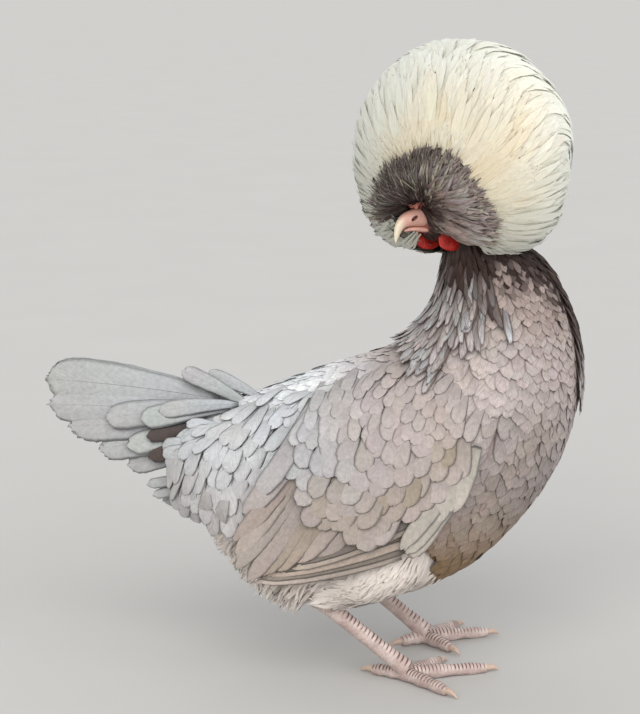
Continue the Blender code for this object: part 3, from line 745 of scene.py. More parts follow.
def makeSkin():
    settings = {
        "bodyDepth": 5.0, "neckDepth": 3.5, "headDepth": 0.4, "crestCore": 31.0, "voxel": 0.0024,
        "thighRadii": [12, 21, 22, 18, 12.5, 8.5, 6.5], "thighShares": (-0.3, 0.0, 0.25, 0.5, 0.72, 0.9, 1.0),
        "tailRoot": ((-80, 0, 172), (16, 12, 22)), "brow": (headPoint(12, 0, 14), (13, 13, 11)),
    }
    thinner = settings["bodyDepth"] - settings["neckDepth"]

    def body(around, along):
        s, a = along * lastStation, around * fullTurn
        middle = (bodyPoint(s, 0.0) + bodyPoint(s, math.pi)) / 2
        out = bodyPoint(s, a) - middle
        depth = settings["bodyDepth"] - thinner * smooth(10, 13, s)
        share = max(0.0, 1 - depth / np.linalg.norm(out)) if 0.001 < along < 0.999 else 0.0
        return middle + out * share

    bm = wrapGrid(64, 96, body)
    wrapGrid(40, 40, headLoft(skull, settings["headDepth"]), bm)
    for leg in legs.values():
        points = [leg["knee"] + (leg["hock"] - leg["knee"]) * t for t in settings["thighShares"]]
        wrapGrid(24, 24, tubePlace(points, settings["thighRadii"]), bm)
    core = (crestCentre, [settings["crestCore"]] * 3)
    for centre, sizes in (settings["tailRoot"], core, settings["brow"]):
        centre, sizes = np.array(centre, float), np.array(sizes, float)
        ball = bmesh.ops.create_uvsphere(bm, u_segments=32, v_segments=16, radius=1)
        for vert in ball["verts"]:
            vert.co = Vector((centre + np.array(vert.co) * sizes) * mm)
    material = skinMaterial()
    rough = finishPiece("rough_skin", bm, material)
    remesh = rough.modifiers.new("one skin", "REMESH")
    remesh.mode = "VOXEL"
    remesh.voxel_size = settings["voxel"]
    rough.modifiers.new("ease", "SMOOTH").iterations = 3
    graph = bpy.context.evaluated_depsgraph_get()
    mesh = bpy.data.meshes.new_from_object(rough.evaluated_get(graph))
    bpy.data.objects.remove(rough)
    mesh.name = "skin"
    mesh.materials.clear()
    print("skin has", len(mesh.polygons), "faces")
    return placeMesh(mesh, material)


def skinMaterial():
    material, tree, shader = newMaterial("bird_skin", Roughness=0.7)
    tone = attribute(tree, "tone", "Color")
    fine = noise(tree, objectPlace(tree), 700, 3)
    deeper = mixColour(tree, 1.0, tone, (0.75, 0.72, 0.72), "MULTIPLY")
    link(tree, mixColour(tree, ramp(tree, fine, 0.3, 0.7), deeper, tone), shader.inputs["Base Color"])
    link(tree, bump(tree, fine, 0.5, 0.0006), shader.inputs["Normal"])
    return material


def paintSkin(skin):
    # the skin carries the coat's own markings, from the nearest of many samples
    points = pointsOf(skin.data)
    s, a = bodySamples(6000, 0.05, lastStation - 0.05)
    samples = bodyPoint(s, a)
    tone, _ = bodyTone(samples, s, a)
    tree = treeOf(samples)
    near = np.array([tree.find(point)[1] for point in points])
    # painted shade: the skin is painted a fifth darker than the coat above it, as the shadow seen in the gaps
    # between feathers
    tone = tone[near] * 0.8
    head = inHead(points)
    inside = np.sqrt((head[:, 0] / 28) ** 2 + (head[:, 1] / 18) ** 2 + ((head[:, 2] - 2) / 20) ** 2)
    tone = blend(tone, colours["dark"] * 2, smooth(1.35, 1.1, inside))
    # bare skin shows round the eye and at the base of the bill
    bare = np.maximum(smooth(9, 6, np.hypot(head[:, 0] - 11, head[:, 2] - 5)), smooth(18, 22, head[:, 0]))
    tone = blend(tone, colours["faceSkin"], bare * (inside < 1.3))
    # painted shade: under the crest the skin is painted cream at 0.7, as the shadow in the gaps between the
    # crest's feathers
    tone = blend(tone, colours["cream"] * 0.7, smooth(347, 356, points[:, 2]))
    setColours(skin.data, "tone", tone)


print("making the skin")
skin = makeSkin()
paintSkin(skin)
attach(skin, "root")
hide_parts("torso", "breast", "neck", "head", "thigh_left", "thigh_right")
skinTree = BVHTree.FromObject(skin, bpy.context.evaluated_depsgraph_get())


def onSkin(points):
    # nearest places on the skin and its normals there
    found = [skinTree.find_nearest(Vector(point) * mm) for point in points]
    return np.array([f[0] for f in found]) / mm, np.array([f[1] for f in found])


def lieOnSkin(points, ways, lengths, rises, follow=1.0):
    # feathers from points on the skin, along ways; rises are heights over the skin at root, middle and tip
    lift = 2  # so that the search for the skin starts outside it
    root, rootUp = onSkin(points)
    lengths = lengths[:, None]
    middle, middleUp = onSkin(root + ways * lengths * 0.5 + rootUp * lift)
    sink = rootUp * lift * (1 - follow) - rootUp * lengths * 0.1 * follow
    tip, tipUp = onSkin(root + ways * lengths + sink)
    rises = np.asarray(rises, float)
    if rises.ndim == 1:
        rises = np.repeat(rises[None], len(root), 0)
    return {
        "root": root + rootUp * rises[:, :1],
        "middle": middle + middleUp * rises[:, 1:2],
        "tip": tip + tipUp * rises[:, 2:3],
        "rootUp": rootUp,
        "tipUp": unit(tipUp + middleUp),
    }


# The folded wing's outer face, seen from the side
wingMiddle = np.array([42.0, 162.0])
wingOutline = [
    (108, 182), (114, 158), (106, 138), (82, 122), (50, 114), (15, 108), (-14, 108), (-27, 122),
    (-29, 145), (-20, 172), (-4, 196), (22, 216), (54, 230), (86, 220),
]
wingForm = {"halfWidth": 82, "widestX": 45, "widestZ": 150, "height": 95, "bow": 0.0018}


def wingSurface(x, z):
    # half width at side-view places
    widest = wingForm["halfWidth"] - wingForm["bow"] * (x - wingForm["widestX"]) ** 2
    share = np.clip((z - wingForm["widestZ"]) / wingForm["height"], 0, 0.999)
    below = widest - wingForm["bow"] * (wingForm["widestZ"] - z) ** 2
    return np.where(z > wingForm["widestZ"], widest * np.sqrt(1 - share**2), below)


def outlineReach(x, z, outline, middle):
    # how far out a side-view place lies: 1 on the outline
    angle = np.arctan2(z - middle[1], x - middle[0])
    corners = np.array(outline, float) - middle
    turns = np.arctan2(corners[:, 1], corners[:, 0])
    order = np.argsort(turns)
    turns, far = turns[order], np.hypot(*corners[order].T)
    reach = np.interp(angle, turns, far, period=fullTurn)
    return np.hypot(z - middle[1], x - middle[0]) / reach


# Small body feathers
bodyLook = {
    "rough": 0.78, "lace": 0.20, "tip": 0.10, "shaft": 0.05, "streaks": 0.24, "laceShare": 0.75,
    "shaftShare": 0.35, "shaftTone": (0.25, 0.20, 0.18), "sheen": 0.05,
}
bodyFeather = featherMaterial("body_feathers", bodyLook)
bodyCoat = {
    "samples": 60000, "reach": (0.3, 14.9), "smallFrom": 11.3, "breastFrom": 7, "thighClear": 25,
    "stations": (0, 2, 4, 7, 9, 10.5, 11.5, 12.3, 13.5, 15),
    "length": (24, 24, 24, 25, 23, 18, 15, 13, 11, 9),
    "width": (10, 11, 12, 13, 12.5, 9.5, 7.6, 5.4, 3.6, 2.8),
    "apart": (6, 6.5, 7, 7.2, 6.8, 5.2, 4.3, 3.1, 2.4, 2.2),
    "shape": {"camber": 0.035, "curl": 0.02, "ragged": 0.05, "fray": 0.02, "notch": 0.10},
}


def sizeOnBody(s, a, points):
    # length, width and spacing of the small feathers
    sizes = (bodyCoat[key] for key in ("length", "width", "apart"))
    length, width, apart = (np.interp(s, bodyCoat["stations"], size) for size in sizes)
    front = smooth(0.80, 0.97, -np.cos(a)) * smooth(7, 9.5, s)
    width = width * (1 - 0.5 * front)
    apart = apart * (1 - 0.4 * front)
    back = smooth(0.3, 0.8, np.cos(a)) * smooth(8, 6, s)
    low = smooth(118, 88, points[:, 2]) * smooth(130, 90, points[:, 0])
    length = length * (1 - 0.12 * back) * (1 + 0.25 * low)
    width = width * (1 - 0.2 * back) * (1 - 0.5 * low)
    return length, width, apart * (1 - 0.2 * back) * (1 - 0.42 * low)


def hackleLimit(s):
    # how far round from the back the hackle reaches, by station
    return np.interp(s, (8.0, 9.6, 11, 12.5, 14.2), (0.66, 0.74, 0.80, 0.95, 1.3))


def makeBodyFeathers():
    s, a = bodySamples(bodyCoat["samples"], *bodyCoat["reach"])
    points, normal, way = bodyFrame(s, a)
    length, width, apart = sizeOnBody(s, a, points)
    kept = thinOut(points, apart)
    s, a, points, normal, way, length, width = pick(kept, s, a, points, normal, way, length, width)
    # none under the wings, the hackle or the down of the thighs
    reach = outlineReach(points[:, 0], points[:, 2], wingOutline, wingMiddle)
    underWing = (reach < 0.80) & (np.abs(np.sin(a)) > 0.45) & (np.abs(points[:, 1]) > 30)
    keep = ~underWing & ~((turnFromBack(a) < hackleLimit(s) - 0.12) & (s > 9.3))
    for leg in legs.values():
        reach = leg["hock"] - leg["knee"]
        share = np.clip((points - leg["knee"]) @ reach / np.sum(reach**2), -0.3, 1)
        away = points - leg["knee"] - share[:, None] * reach
        keep &= np.linalg.norm(away, axis=-1) > bodyCoat["thighClear"]
    s, a, points, normal, way, length, width = pick(keep, s, a, points, normal, way, length, width)
    count = len(s)
    # feathers on the flanks hang a little, those low down sweep back, and no two lie quite alike
    flank = np.abs(np.sin(a)) * smooth(12, 8, s)
    low = smooth(120, 85, points[:, 2]) * smooth(130, 90, points[:, 0])
    hang = np.array([0, 0, -1.0]) * (0.35 * flank)[:, None] + np.array([-0.5, 0, -0.45]) * low[:, None]
    way = layFlat(way + hang + chance.normal(0, 0.10, (count, 3)), normal)
    length = length * chance.uniform(0.85, 1.15, count)
    neck = smooth(10.5, 13, s)
    rises = columns(0.2, 2.9 - 0.8 * neck, 4.1 - 1.0 * neck + chance.normal(0, 0.22, count))
    lot = lieOnSkin(points, way, length, rises)
    tone, edge = bodyTone(points, s, a)
    lot["width"] = width * chance.uniform(0.95, 1.35, count)
    loosen(lot, 0.06, 0.03)
    paintLot(lot, tone=(tone * 0.74, 0.08, 0.8), tipTone=(tone * 0.95, 0.06, 0.8), edge=(edge, 0.10))
    lot["place"] = bodyPlace(s, a)
    small, breast = s > bodyCoat["smallFrom"], s > bodyCoat["breastFrom"]
    form = featherForm("scale", 4, 7)
    coats = {
        "breast_feathers": (breast & ~small, form),
        "back_and_belly_feathers": (~breast & ~small, form),
        "neck_feathers": (small, featherForm("lock", 2, 5)),
    }
    return [
        layCoat(name, bodyFeather, [(shape, chosen(lot, mask), bodyCoat["shape"])])
        for name, (mask, shape) in coats.items()
    ]


print("laying the body feathers")
for piece in makeBodyFeathers():
    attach(piece, "root")
    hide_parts("breast", "torso", "neck")


# Hackle: long narrow feathers from the neck over the shoulders
hackleLook = {
    "rough": 0.6, "lace": 0.55, "tip": 0.12, "shaft": 0.10, "barbs": 2.2, "lean": 4.0, "streaks": 0.5,
    "spots": 0.15, "laceShare": 0.95, "shaftShare": 0.4, "shaftTone": (0.12, 0.09, 0.08), "bump": 0.3,
    "sheen": 0.0, "gloss": 0.15,
}
hackleFeather = featherMaterial("hackle_feathers", hackleLook)
hackleCoat = {
    "samples": 40000, "reach": (7.8, 14.2), "frontHalf": 0.42, "frontFrom": 10.6,
    "lengthBy": ((8.0, 10.5, 12.5, 14.2), (34, 36, 27, 15)), "widthBy": ((8.0, 11, 14.2), (8.2, 6.2, 3.0)),
    "apartBy": ((8.0, 14.2), (4.6, 3.0)), "middleRise": ((9, 11, 14), (6.6, 5.6, 3.6)),
    "tipRise": ((9, 11, 14), (9.0, 7.5, 3.8)),
    "shape": {"camber": 0.12, "curl": 0.02, "ragged": 0.06, "fray": 0.02, "notch": 0.0},
}


def makeHackle():
    s, a = bodySamples(hackleCoat["samples"], *hackleCoat["reach"])
    fromBack = turnFromBack(a)
    straying = np.abs(chance.normal(0, 0.22, len(s))) * (chance.uniform(0, 1, len(s)) < 0.25) * (s > 10.4)
    limit = hackleLimit(s) + chance.normal(0, 0.07, len(s)) + straying
    front = (np.abs(fromBack - math.pi) < hackleCoat["frontHalf"]) & (s > hackleCoat["frontFrom"])
    s, a, fromBack, front = pick((fromBack < limit) | front, s, a, fromBack, front)
    points, normal, way = bodyFrame(s, a)
    kept = thinOut(points, np.interp(s, *hackleCoat["apartBy"]))
    s, a, points, normal, way, fromBack, front = pick(kept, s, a, points, normal, way, fromBack, front)
    count = len(s)
    # it hangs over the shoulders, and sweeps back along the spine
    onBack = smooth(0.75, 0.3, fromBack) * smooth(11.5, 9.5, s)
    fall = np.array([-0.15, 0, -0.45]) * (smooth(12.5, 9, s) * ~front)[:, None]
    fall = fall + np.array([-0.45, 0, 0.0]) * onBack[:, None]
    way = layFlat(way + fall + chance.normal(0, 0.08, (count, 3)), normal)
    length = np.interp(s, *hackleCoat["lengthBy"]) * chance.uniform(0.85, 1.15, count)
    length = np.where(front, length * 0.75, length) * (1 + 0.3 * onBack)
    tipRise = np.interp(s, *hackleCoat["tipRise"]) + chance.normal(0, 0.45, count)
    lot = lieOnSkin(points, way, length, columns(0.8, np.interp(s, *hackleCoat["middleRise"]), tipRise))
    # high on the neck the hackle is painted near-black: its own dark band, darkened further as painted shade
    # under the crest
    high = smooth(11.0, 12.5, s + chance.normal(0, 0.3, count) + 0.3 * front)
    mixed = blend(colours["cool"] * 0.98, colours["lavender"] * 1.02, chance.uniform(0, 1, count))
    tone = blend(mixed, colours["dark"], high)
    edge = blend(blend(colours["brown"], colours["dark"], 0.5), colours["dark"], high)
    lot["width"] = np.interp(s, *hackleCoat["widthBy"]) * chance.uniform(0.8, 1.2, count)
    loosen(lot, 0.10, 0.06)
    rootTone = blend(tone * 0.6, colours["brown"] * 1.3, np.full(count, 0.45))
    paintLot(lot, tone=(rootTone, 0.14, 0.9), tipTone=(tone * 1.05, 0.12, 0.9), edge=(edge, 0.15, 0.9))
    lot["place"] = bodyPlace(s, a)
    return layCoat("hackle", hackleFeather, [(featherForm("lock", 4, 8), lot, hackleCoat["shape"])])


print("laying the hackle")
piece = makeHackle()
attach(piece, "root")
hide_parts("neck")


# Feathers on the bird's sides are placed by what is seen from the side, then carried on to the body.
backLine = [(x, z) for x, z, *_ in bodyStations[:9]]
plainVane = {"camber": 0.05, "curl": 0.02, "thick": 0.4, "ragged": 0.02, "fray": 0.01, "notch": 0.04}


def sideReach(x, z, sign):
    # half width of the skin at side-view places
    found = []
    for along, height in zip(x, z):
        hit = skinTree.ray_cast(Vector((along, sign * 160, height)) * mm, Vector((0, -sign, 0)))[0]
        if hit is None or hit.y * sign < 0:
            hit = skinTree.find_nearest(Vector((along, sign * 60, height)) * mm)[0]
        found.append(hit.y * sign / mm)
    return np.array(found)


def hugging(x, z, rise, sign):
    # a side-view place laid on the skin, rise over it, and the way out from there
    near, normal = onSkin(np.stack([x, sign * sideReach(x, z, sign), z], -1))
    return near + normal * np.broadcast_to(rise, len(x))[:, None], normal


def rowPlaces(outline, middle, angle, across, along):
    # side-view places inside an outline, in staggered rows across the feathers' way
    way = np.array([math.cos(math.radians(angle)), math.sin(math.radians(angle))])
    beside = np.array([-way[1], way[0]])
    rows, cols = np.mgrid[-24:25, -24:25].reshape(2, -1)
    shift = chance.normal(0, 0.13, (len(rows), 2))
    u = (cols + 0.5 * (rows % 2) + shift[:, 0]) * across
    v = (rows + shift[:, 1] + 0.12 * np.sin(cols * 1.7)) * along
    places = middle + beside * u[:, None] + way * v[:, None]
    return places[outlineReach(places[:, 0], places[:, 1], outline, middle) < 1]


def carryLot(roots, tips, rises, tipStray, carry):
    # feathers between side-view places, each end and the middle at its own height over the surface
    middles = (tips + roots) / 2
    low, mid, high = rises
    root, rootUp = carry(*roots.T, low)
    middle, _ = carry(*middles.T, mid)
    if tipStray:
        high = high + chance.normal(0, tipStray, len(tips))
    tip, tipUp = carry(*tips.T, high)
    return {"root": root, "middle": middle, "tip": tip, "rootUp": rootUp, "tipUp": tipUp}


def coverLot(places, angle, width, length, rises, carry):
    # feathers that end at side-view places and point at angle, in degrees up from the way the breast faces
    angle = np.radians(angle + chance.normal(0, 5, len(places)))
    roots = places - np.stack([np.cos(angle), np.sin(angle)], -1) * length[:, None]
    roots[:, 1] = np.minimum(roots[:, 1], np.interp(roots[:, 0], *zip(*backLine)) - 5)
    lot = carryLot(roots, places, rises, 0.25, carry)
    lot["width"] = width
    loosen(lot, 0.06, 0.035)
    return lot


# Saddle: long rounded feathers over the rump and the tail's base
saddleLook = {
    "lace": 0.12, "streaks": 0.20, "spots": 0.12, "laceShare": 0.55, "shaftTone": (0.22, 0.19, 0.18),
    "even": 0.25,
}
saddleFeather = featherMaterial("saddle_feathers", saddleLook)
saddleCoat = {
    "outline": [
        (-70, 199), (-86, 186), (-101, 168), (-98, 150), (-97, 134), (-91, 119), (-76, 111), (-50, 112),
        (-34, 124), (-26, 150), (-14, 180), (4, 208), (-20, 206), (-48, 203),
    ],
    "rim": [
        (-88, 184), (-106, 167), (-104, 152), (-103, 137), (-99, 122), (-87, 112), (-70, 107), (-52, 107),
    ],
    "rimCount": 15, "middle": (-60.0, 158.0), "rowAngle": -118, "across": 9.0, "along": 14.0,
    "angleBy": ((120, 145, 172, 200), (-96, -110, -130, -152)),
    "widthBy": ((120, 165, 200), (13.5, 12.5, 9.5)), "lengthBy": ((120, 165, 200), (42, 40, 26)),
    "rearBy": (
        (106, 113, 122, 137, 157, 167, 184, 199, 206), (-72, -92, -103, -106, -107, -109, -93, -78, -60),
    ),
    "tailHalfBy": ((125, 150, 190, 205), (4, 19, 17, 4)), "half": 66,
}


def saddleDrape(x, z):
    # half width of the saddle's outer face: it hangs round the rump and over the tail's base
    share = np.clip((x + 15) / (np.interp(z, *saddleCoat["rearBy"]) + 15), 0, 0.995)
    high = np.clip((z - 150) / 60, 0, 0.97)
    drape = saddleCoat["half"] * np.sqrt(1 - high**2) * (1 - share**2.6) ** 0.5
    return np.maximum(drape, np.interp(z, *saddleCoat["tailHalfBy"]))


def saddleCarry(sign):
    def carry(x, z, rise):
        # the saddle's own curve, running into the body's near the back
        rise = np.broadcast_to(rise, len(x))
        slopeX = (saddleDrape(x + 1, z) - saddleDrape(x - 1, z)) / 2
        slopeZ = (saddleDrape(x, z + 1) - saddleDrape(x, z - 1)) / 2
        out = unit(columns(-slopeX, sign, -slopeZ))
        own = np.stack([x, sign * saddleDrape(x, z), z], -1) + out * rise[:, None]
        close, normal = hugging(x, z, 5.0 + rise, sign)
        top = smooth(184, 204, z)
        return blend(own, close, top), unit(blend(out, normal, top))
    return carry


def makeSaddle():
    look = {**plainVane, "camber": 0.06, "curl": 0.03}
    form = featherForm("paddle", 6, 12, solid=True)
    lots = []
    for sign in sides.values():
        rimCount = saddleCoat["rimCount"]
        rim = spread(saddleCoat["rim"], np.linspace(0, 1, rimCount)) + chance.normal(0, 0.8, (rimCount, 2))
        rows = [saddleCoat[key] for key in ("outline", "middle", "rowAngle", "across", "along")]
        places = np.concatenate([rim, rowPlaces(*rows)])
        under = 0.8 * (np.arange(len(places)) < rimCount)
        along, height = places.T
        count = len(places)
        changes = (saddleCoat[key] for key in ("angleBy", "widthBy", "lengthBy"))
        angle, width, length = (np.interp(height, *change) for change in changes)
        width = width * chance.uniform(0.88, 1.15, count)
        length = length * chance.uniform(0.92, 1.1, count)
        lot = coverLot(places, angle, width, length, (-3.0 - under, -under, 1.6 - under), saddleCarry(sign))
        tone = blend(colours["cool"] * 1.06, colours["lavender"], smooth(175, 125, height) * 0.4)
        tone = blend(tone, colours["tan"], patches(columns(along, 0, height), 16, 3.0) * 0.16)
        rootTone, tipTone, edge = tone * 0.86, tone * 1.04, tone * 0.42
        paintLot(lot, tone=(rootTone, 0.06, 0.85), tipTone=(tipTone, 0.05, 0.85), edge=(edge, 0.08))
        lot["place"] = np.stack([0.47 + 0.23 * sign + along * 0.002, height * 0.004], -1)
        lots.append((form, lot, look))
    return layCoat("saddle", saddleFeather, lots)


print("laying the saddle")
piece = makeSaddle()
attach(piece, "root")
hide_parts("torso")


# Wings
# lace and laceShare set the wing feathers' rims, painted darker as shade along their edges
wingLook = {
    "lace": 0.09, "barbs": 5.0, "spots": 0.18, "laceShare": 0.3, "shaftShare": 0.55,
    "shaftTone": (0.20, 0.16, 0.14), "bump": 0.32,
}
wingFeather = featherMaterial("wing_feathers", wingLook)
# Where the coverts end, seen from the side, and how they change with height.
covertCoat = {
    "outline": [
        (106, 176), (99, 158), (86, 146), (72, 134), (56, 121), (38, 112), (20, 106), (4, 114), (-8, 128),
        (-17, 148), (-17, 172), (-8, 192), (8, 204), (30, 212), (56, 221), (84, 214), (101, 199),
    ],
    "middle": (40.0, 160.0), "big": (-112, 10.6, 12.0), "small": (-118, 7.6, 8.4), "bigTo": 176,
    "smallFrom": 178, "angleBy": ((120, 160, 195, 228), (-122, -108, -112, -150)),
    "widthBy": ((115, 176, 180, 225), (17, 15, 11.5, 9)), "lengthBy": ((115, 176, 180, 225), (38, 32, 26, 19)),
}
# The long feathers: roots and tips along each row, seen from the side, in mm.
quills = {
    "primary": {
        "roots": [(76, 134), (72, 125), (67, 114), (60, 105)],
        "tips": [(-12, 98), (-24, 91), (-34, 86), (-42, 80)],
        "count": 6, "width": 9, "rise": (-2.2, -1.2, -0.6), "step": -0.35,
    },
    "secondary": {
        "roots": [(64, 150), (42, 150), (24, 158), (12, 174)],
        "tips": [(26, 108), (2, 101), (-22, 92), (-48, 78)],
        "count": 7, "width": 15, "rise": (-4.0, -2.2, -1.2), "step": 0.45,
    },
    "tertial": {
        "roots": [(12, 180), (6, 192), (2, 204)], "tips": [(-53, 90), (-53, 112), (-42, 144)],
        "count": 5, "width": 15, "rise": (-2.4, 1.0, 2.0), "step": 0.55,
    },
    "carpal": {
        "roots": [(110, 170), (103, 160)], "tips": [(58, 112), (66, 104)],
        "count": 3, "width": 13, "rise": (-3.0, 2.4, 2.2), "step": -0.5,
    },
    "alula": {
        "roots": [(111, 180), (102, 172)], "tips": [(96, 138), (82, 130)],
        "count": 3, "width": 13, "rise": (-4.5, 2.6, 4.0), "step": -0.5,
    },
}
stains = [  # middle and size, seen from the side
    ((85, 166), 11), ((40, 131), 12), ((4, 137), 12), ((-30, 100), 24), ((62, 140), 10), ((10, 112), 16),
]
primaryShades = [0.5, 1.15, 0.42, 1.35, 0.7, 1.2]  # the strips differ, some pale and some nearly black


def wingTone(x, z):
    # lavender over most of the wing, cooler to the rear, stained tan low down
    tone = blend(colours["lavender"] * 1.02, colours["cool"], smooth(60, -20, x) * smooth(120, 160, z) * 0.8)
    stained = np.zeros(len(x))
    for (middleX, middleZ), size in stains:
        stained = np.maximum(stained, np.exp(-(((x - middleX) ** 2 + (z - middleZ) ** 2) / size**2)))
    stained = np.clip(stained * 0.85 + 0.25 * patches(columns(x, 0, z), 13, 5.0), 0, 1)
    return blend(tone, colours["tan"] * 0.9, stained)


def quillLot(row, carry):
    # the long feathers of one row; each lies a step over the one before
    count = row["count"]
    share = np.clip((np.arange(count) + chance.normal(0, 0.08, count)) / (count - 1), 0, 1)
    roots = spread(row["roots"], share) + chance.normal(0, 0.6, (count, 2))
    tips = spread(row["tips"], share) + chance.normal(0, 1.0, (count, 2))
    rises = [value + row["step"] * np.arange(count) for value in row["rise"]]
    lot = carryLot(roots, tips, rises, 0, carry)
    lot["width"] = row["width"] * chance.uniform(0.9, 1.1, count)
    loosen(lot, 0.05, 0.02)
    return lot


def wingCarry(sign):
    def carry(x, z, rise):
        # the wing's own curve, running into the body's near the back
        rise = np.broadcast_to(rise, len(x))
        own = np.stack([x, sign * (wingSurface(x, z) + rise), z], -1)
        close, normal = hugging(x, z, 4.4 + 0.8 * rise, sign)
        top = smooth(176, 214, z)
        return blend(own, close, top), unit(blend(np.array([0, sign, 0.15]), normal, top))
    return carry


def covertLot(carry):
    outline, middle = covertCoat["outline"], covertCoat["middle"]
    low, high = (rowPlaces(outline, middle, *covertCoat[key]) for key in ("big", "small"))
    low, high = low[low[:, 1] < covertCoat["bigTo"]], high[high[:, 1] >= covertCoat["smallFrom"]]
    places = np.concatenate([low, high])
    x, z = places.T
    count = len(places)
    changes = (covertCoat[key] for key in ("angleBy", "widthBy", "lengthBy"))
    angle, width, length = (np.interp(z, *change) for change in changes)
    width = width * chance.uniform(0.85, 1.15, count)
    length = length * chance.uniform(0.9, 1.12, count)
    rises = (-2.6, 0.6, 2.0 + 2.0 * smooth(12, -14, x))
    return coverLot(places, angle - 14 * smooth(20, -20, x), width, length, rises, carry), x, z


def makeWing(side):
    carry = wingCarry(sides[side])
    lot, x, z = covertLot(carry)
    coverts = [("covert", lot, featherForm("paddle", 6, 10, solid=True), x, z, wingTone(x, z))]
    strip = featherForm("strip", 6, 16, solid=True)
    for kind, row in quills.items():
        lot = quillLot(row, carry)
        x, _, z = lot["tip"].T
        tone = wingTone(x, z)
        if kind in ("carpal", "alula"):
            tone = same(blend(colours["pale"] * 1.02, colours["tan"] * 1.1, 0.45), len(x))
        if kind == "primary":
            tone = tone * np.resize(primaryShades, len(x))[:, None]
        coverts.append((kind, lot, strip, x, z, tone))
    lots = []
    for kind, lot, form, x, z, tone in coverts:
        # painted shade: each wing feather's rim is painted darker (tone times 0.46) for the shade along its
        # overlapping edge, with a little brown of its own; on the primaries the rim is mostly their own brown
        edge = blend(tone * 0.46, colours["brown"], 0.9 if kind == "primary" else 0.15)
        paintLot(lot, tone=(tone * 0.71, 0.06, 0.85), tipTone=(tone * 0.89, 0.05, 0.85), edge=(edge, 0.08))
        lot["place"] = np.stack([0.5 + x * 0.0035, (z - 60) * 0.005], -1)
        lots.append((form, lot, plainVane))
    return layCoat("wing_feathers_" + side, wingFeather, lots)


wingBed = {
    "outline": [
        (104, 178), (108, 158), (98, 142), (80, 130), (50, 120), (15, 112), (-12, 110), (-26, 122),
        (-28, 145), (-20, 168), (-6, 186), (20, 198), (54, 204), (86, 200),
    ],
    "reach": 0.88, "rimFrom": 0.86, "outer": -4.5, "inner": -9.5, "rim": -7.0, "backDrop": 12,
}


def grainMaterial(name, scale, first, second, **sockets):
    # two colours mixed by a fine grain
    material, tree, shader = newMaterial(name, **sockets)
    grain = noise(tree, objectPlace(tree), scale)
    link(tree, mixColour(tree, grain, first, second), shader.inputs["Base Color"])
    return material


def makeWingBed(side):
    # the wing's own flesh under its feathers, a thin closed lens
    outline = np.array(wingBed["outline"] + wingBed["outline"][:1], float)

    def place(around, along):
        share = wingBed["reach"] * (1 - abs(2 * along - 1))
        corner = catmull(outline, around * (len(outline) - 1))
        x, z = wingMiddle + (corner - wingMiddle) * share
        depth = wingBed["rim" if share > wingBed["rimFrom"] else "outer" if along < 0.5 else "inner"]
        top = float(smooth(176, 214, z))
        return (x, sides[side] * (wingSurface(x, z) + depth - wingBed["backDrop"] * top), z)

    return finishPiece("wing_bed_" + side, wrapGrid(56, 24, place), wingBedMaterial)


# painted shade: the wing bed is painted a dark grey-lavender, the shadow seen in the gaps between the wing's
# feathers
wingBedMaterial = grainMaterial("wing_bed", 180, (0.26, 0.22, 0.21), (0.42, 0.37, 0.35), Roughness=0.75)

print("laying the wings")
for side in sides:
    for piece in (makeWing(side), makeWingBed(side)):
        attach(piece, "root")
        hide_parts("wing_" + side)


# Tail
tailLook = {
    "rough": 0.7, "tip": 0.04, "barbs": 4.0, "laceShare": 0.4, "shaftShare": 0.9,
    "shaftTone": (0.10, 0.08, 0.075), "even": 0.0,
}
tailFeather = featherMaterial("tail_feathers", tailLook)
tailKinds = {
    "main": {"tone": colours["cool"] * 0.75, "grid": (8, 26)},
    "covert": {"tone": colours["cool"] * 0.80, "grid": (6, 14)},
    "dark": {"tone": colours["slate"], "grid": (6, 14)},
}
tailVanes = [  # root, tip, width and kind, on each side
    ((-66, 4, 198), (-188, 5, 213), 33, "main"), ((-70, 7, 188), (-186, 8, 195), 27, "main"),
    ((-72, 9, 178), (-172, 10, 180), 24, "main"), ((-74, 10, 170), (-151, 12, 164), 21, "main"),
    ((-76, 11, 162), (-131, 12, 152), 18, "main"), ((-62, 10, 193), (-146, 13, 186), 20, "covert"),
    ((-66, 12, 180), (-131, 16, 166), 17, "covert"), ((-58, 15, 194), (-121, 17, 186), 17, "covert"),
    ((-66, 16, 178), (-117, 18, 174), 11, "dark"), ((-66, 17, 168), (-116, 18, 159), 12, "dark"),
    ((-52, 17, 197), (-108, 17, 192), 13, "covert"),
]
strayVanes = [
    ((-44, -6, 193), (-92, -8, 219), 13, "covert"), ((-36, -2, 198), (-75, -2, 216), 11, "covert"),
    ((-70, -10, 142), (-118, -11, 137), 8, "covert"), ((-68, -9, 136), (-114, -10, 129), 7.5, "covert"),
    ((-70, 10, 138), (-112, 10, 130), 12, "covert"), ((-66, 3, 132), (-108, 2, 122), 13, "covert"),
]


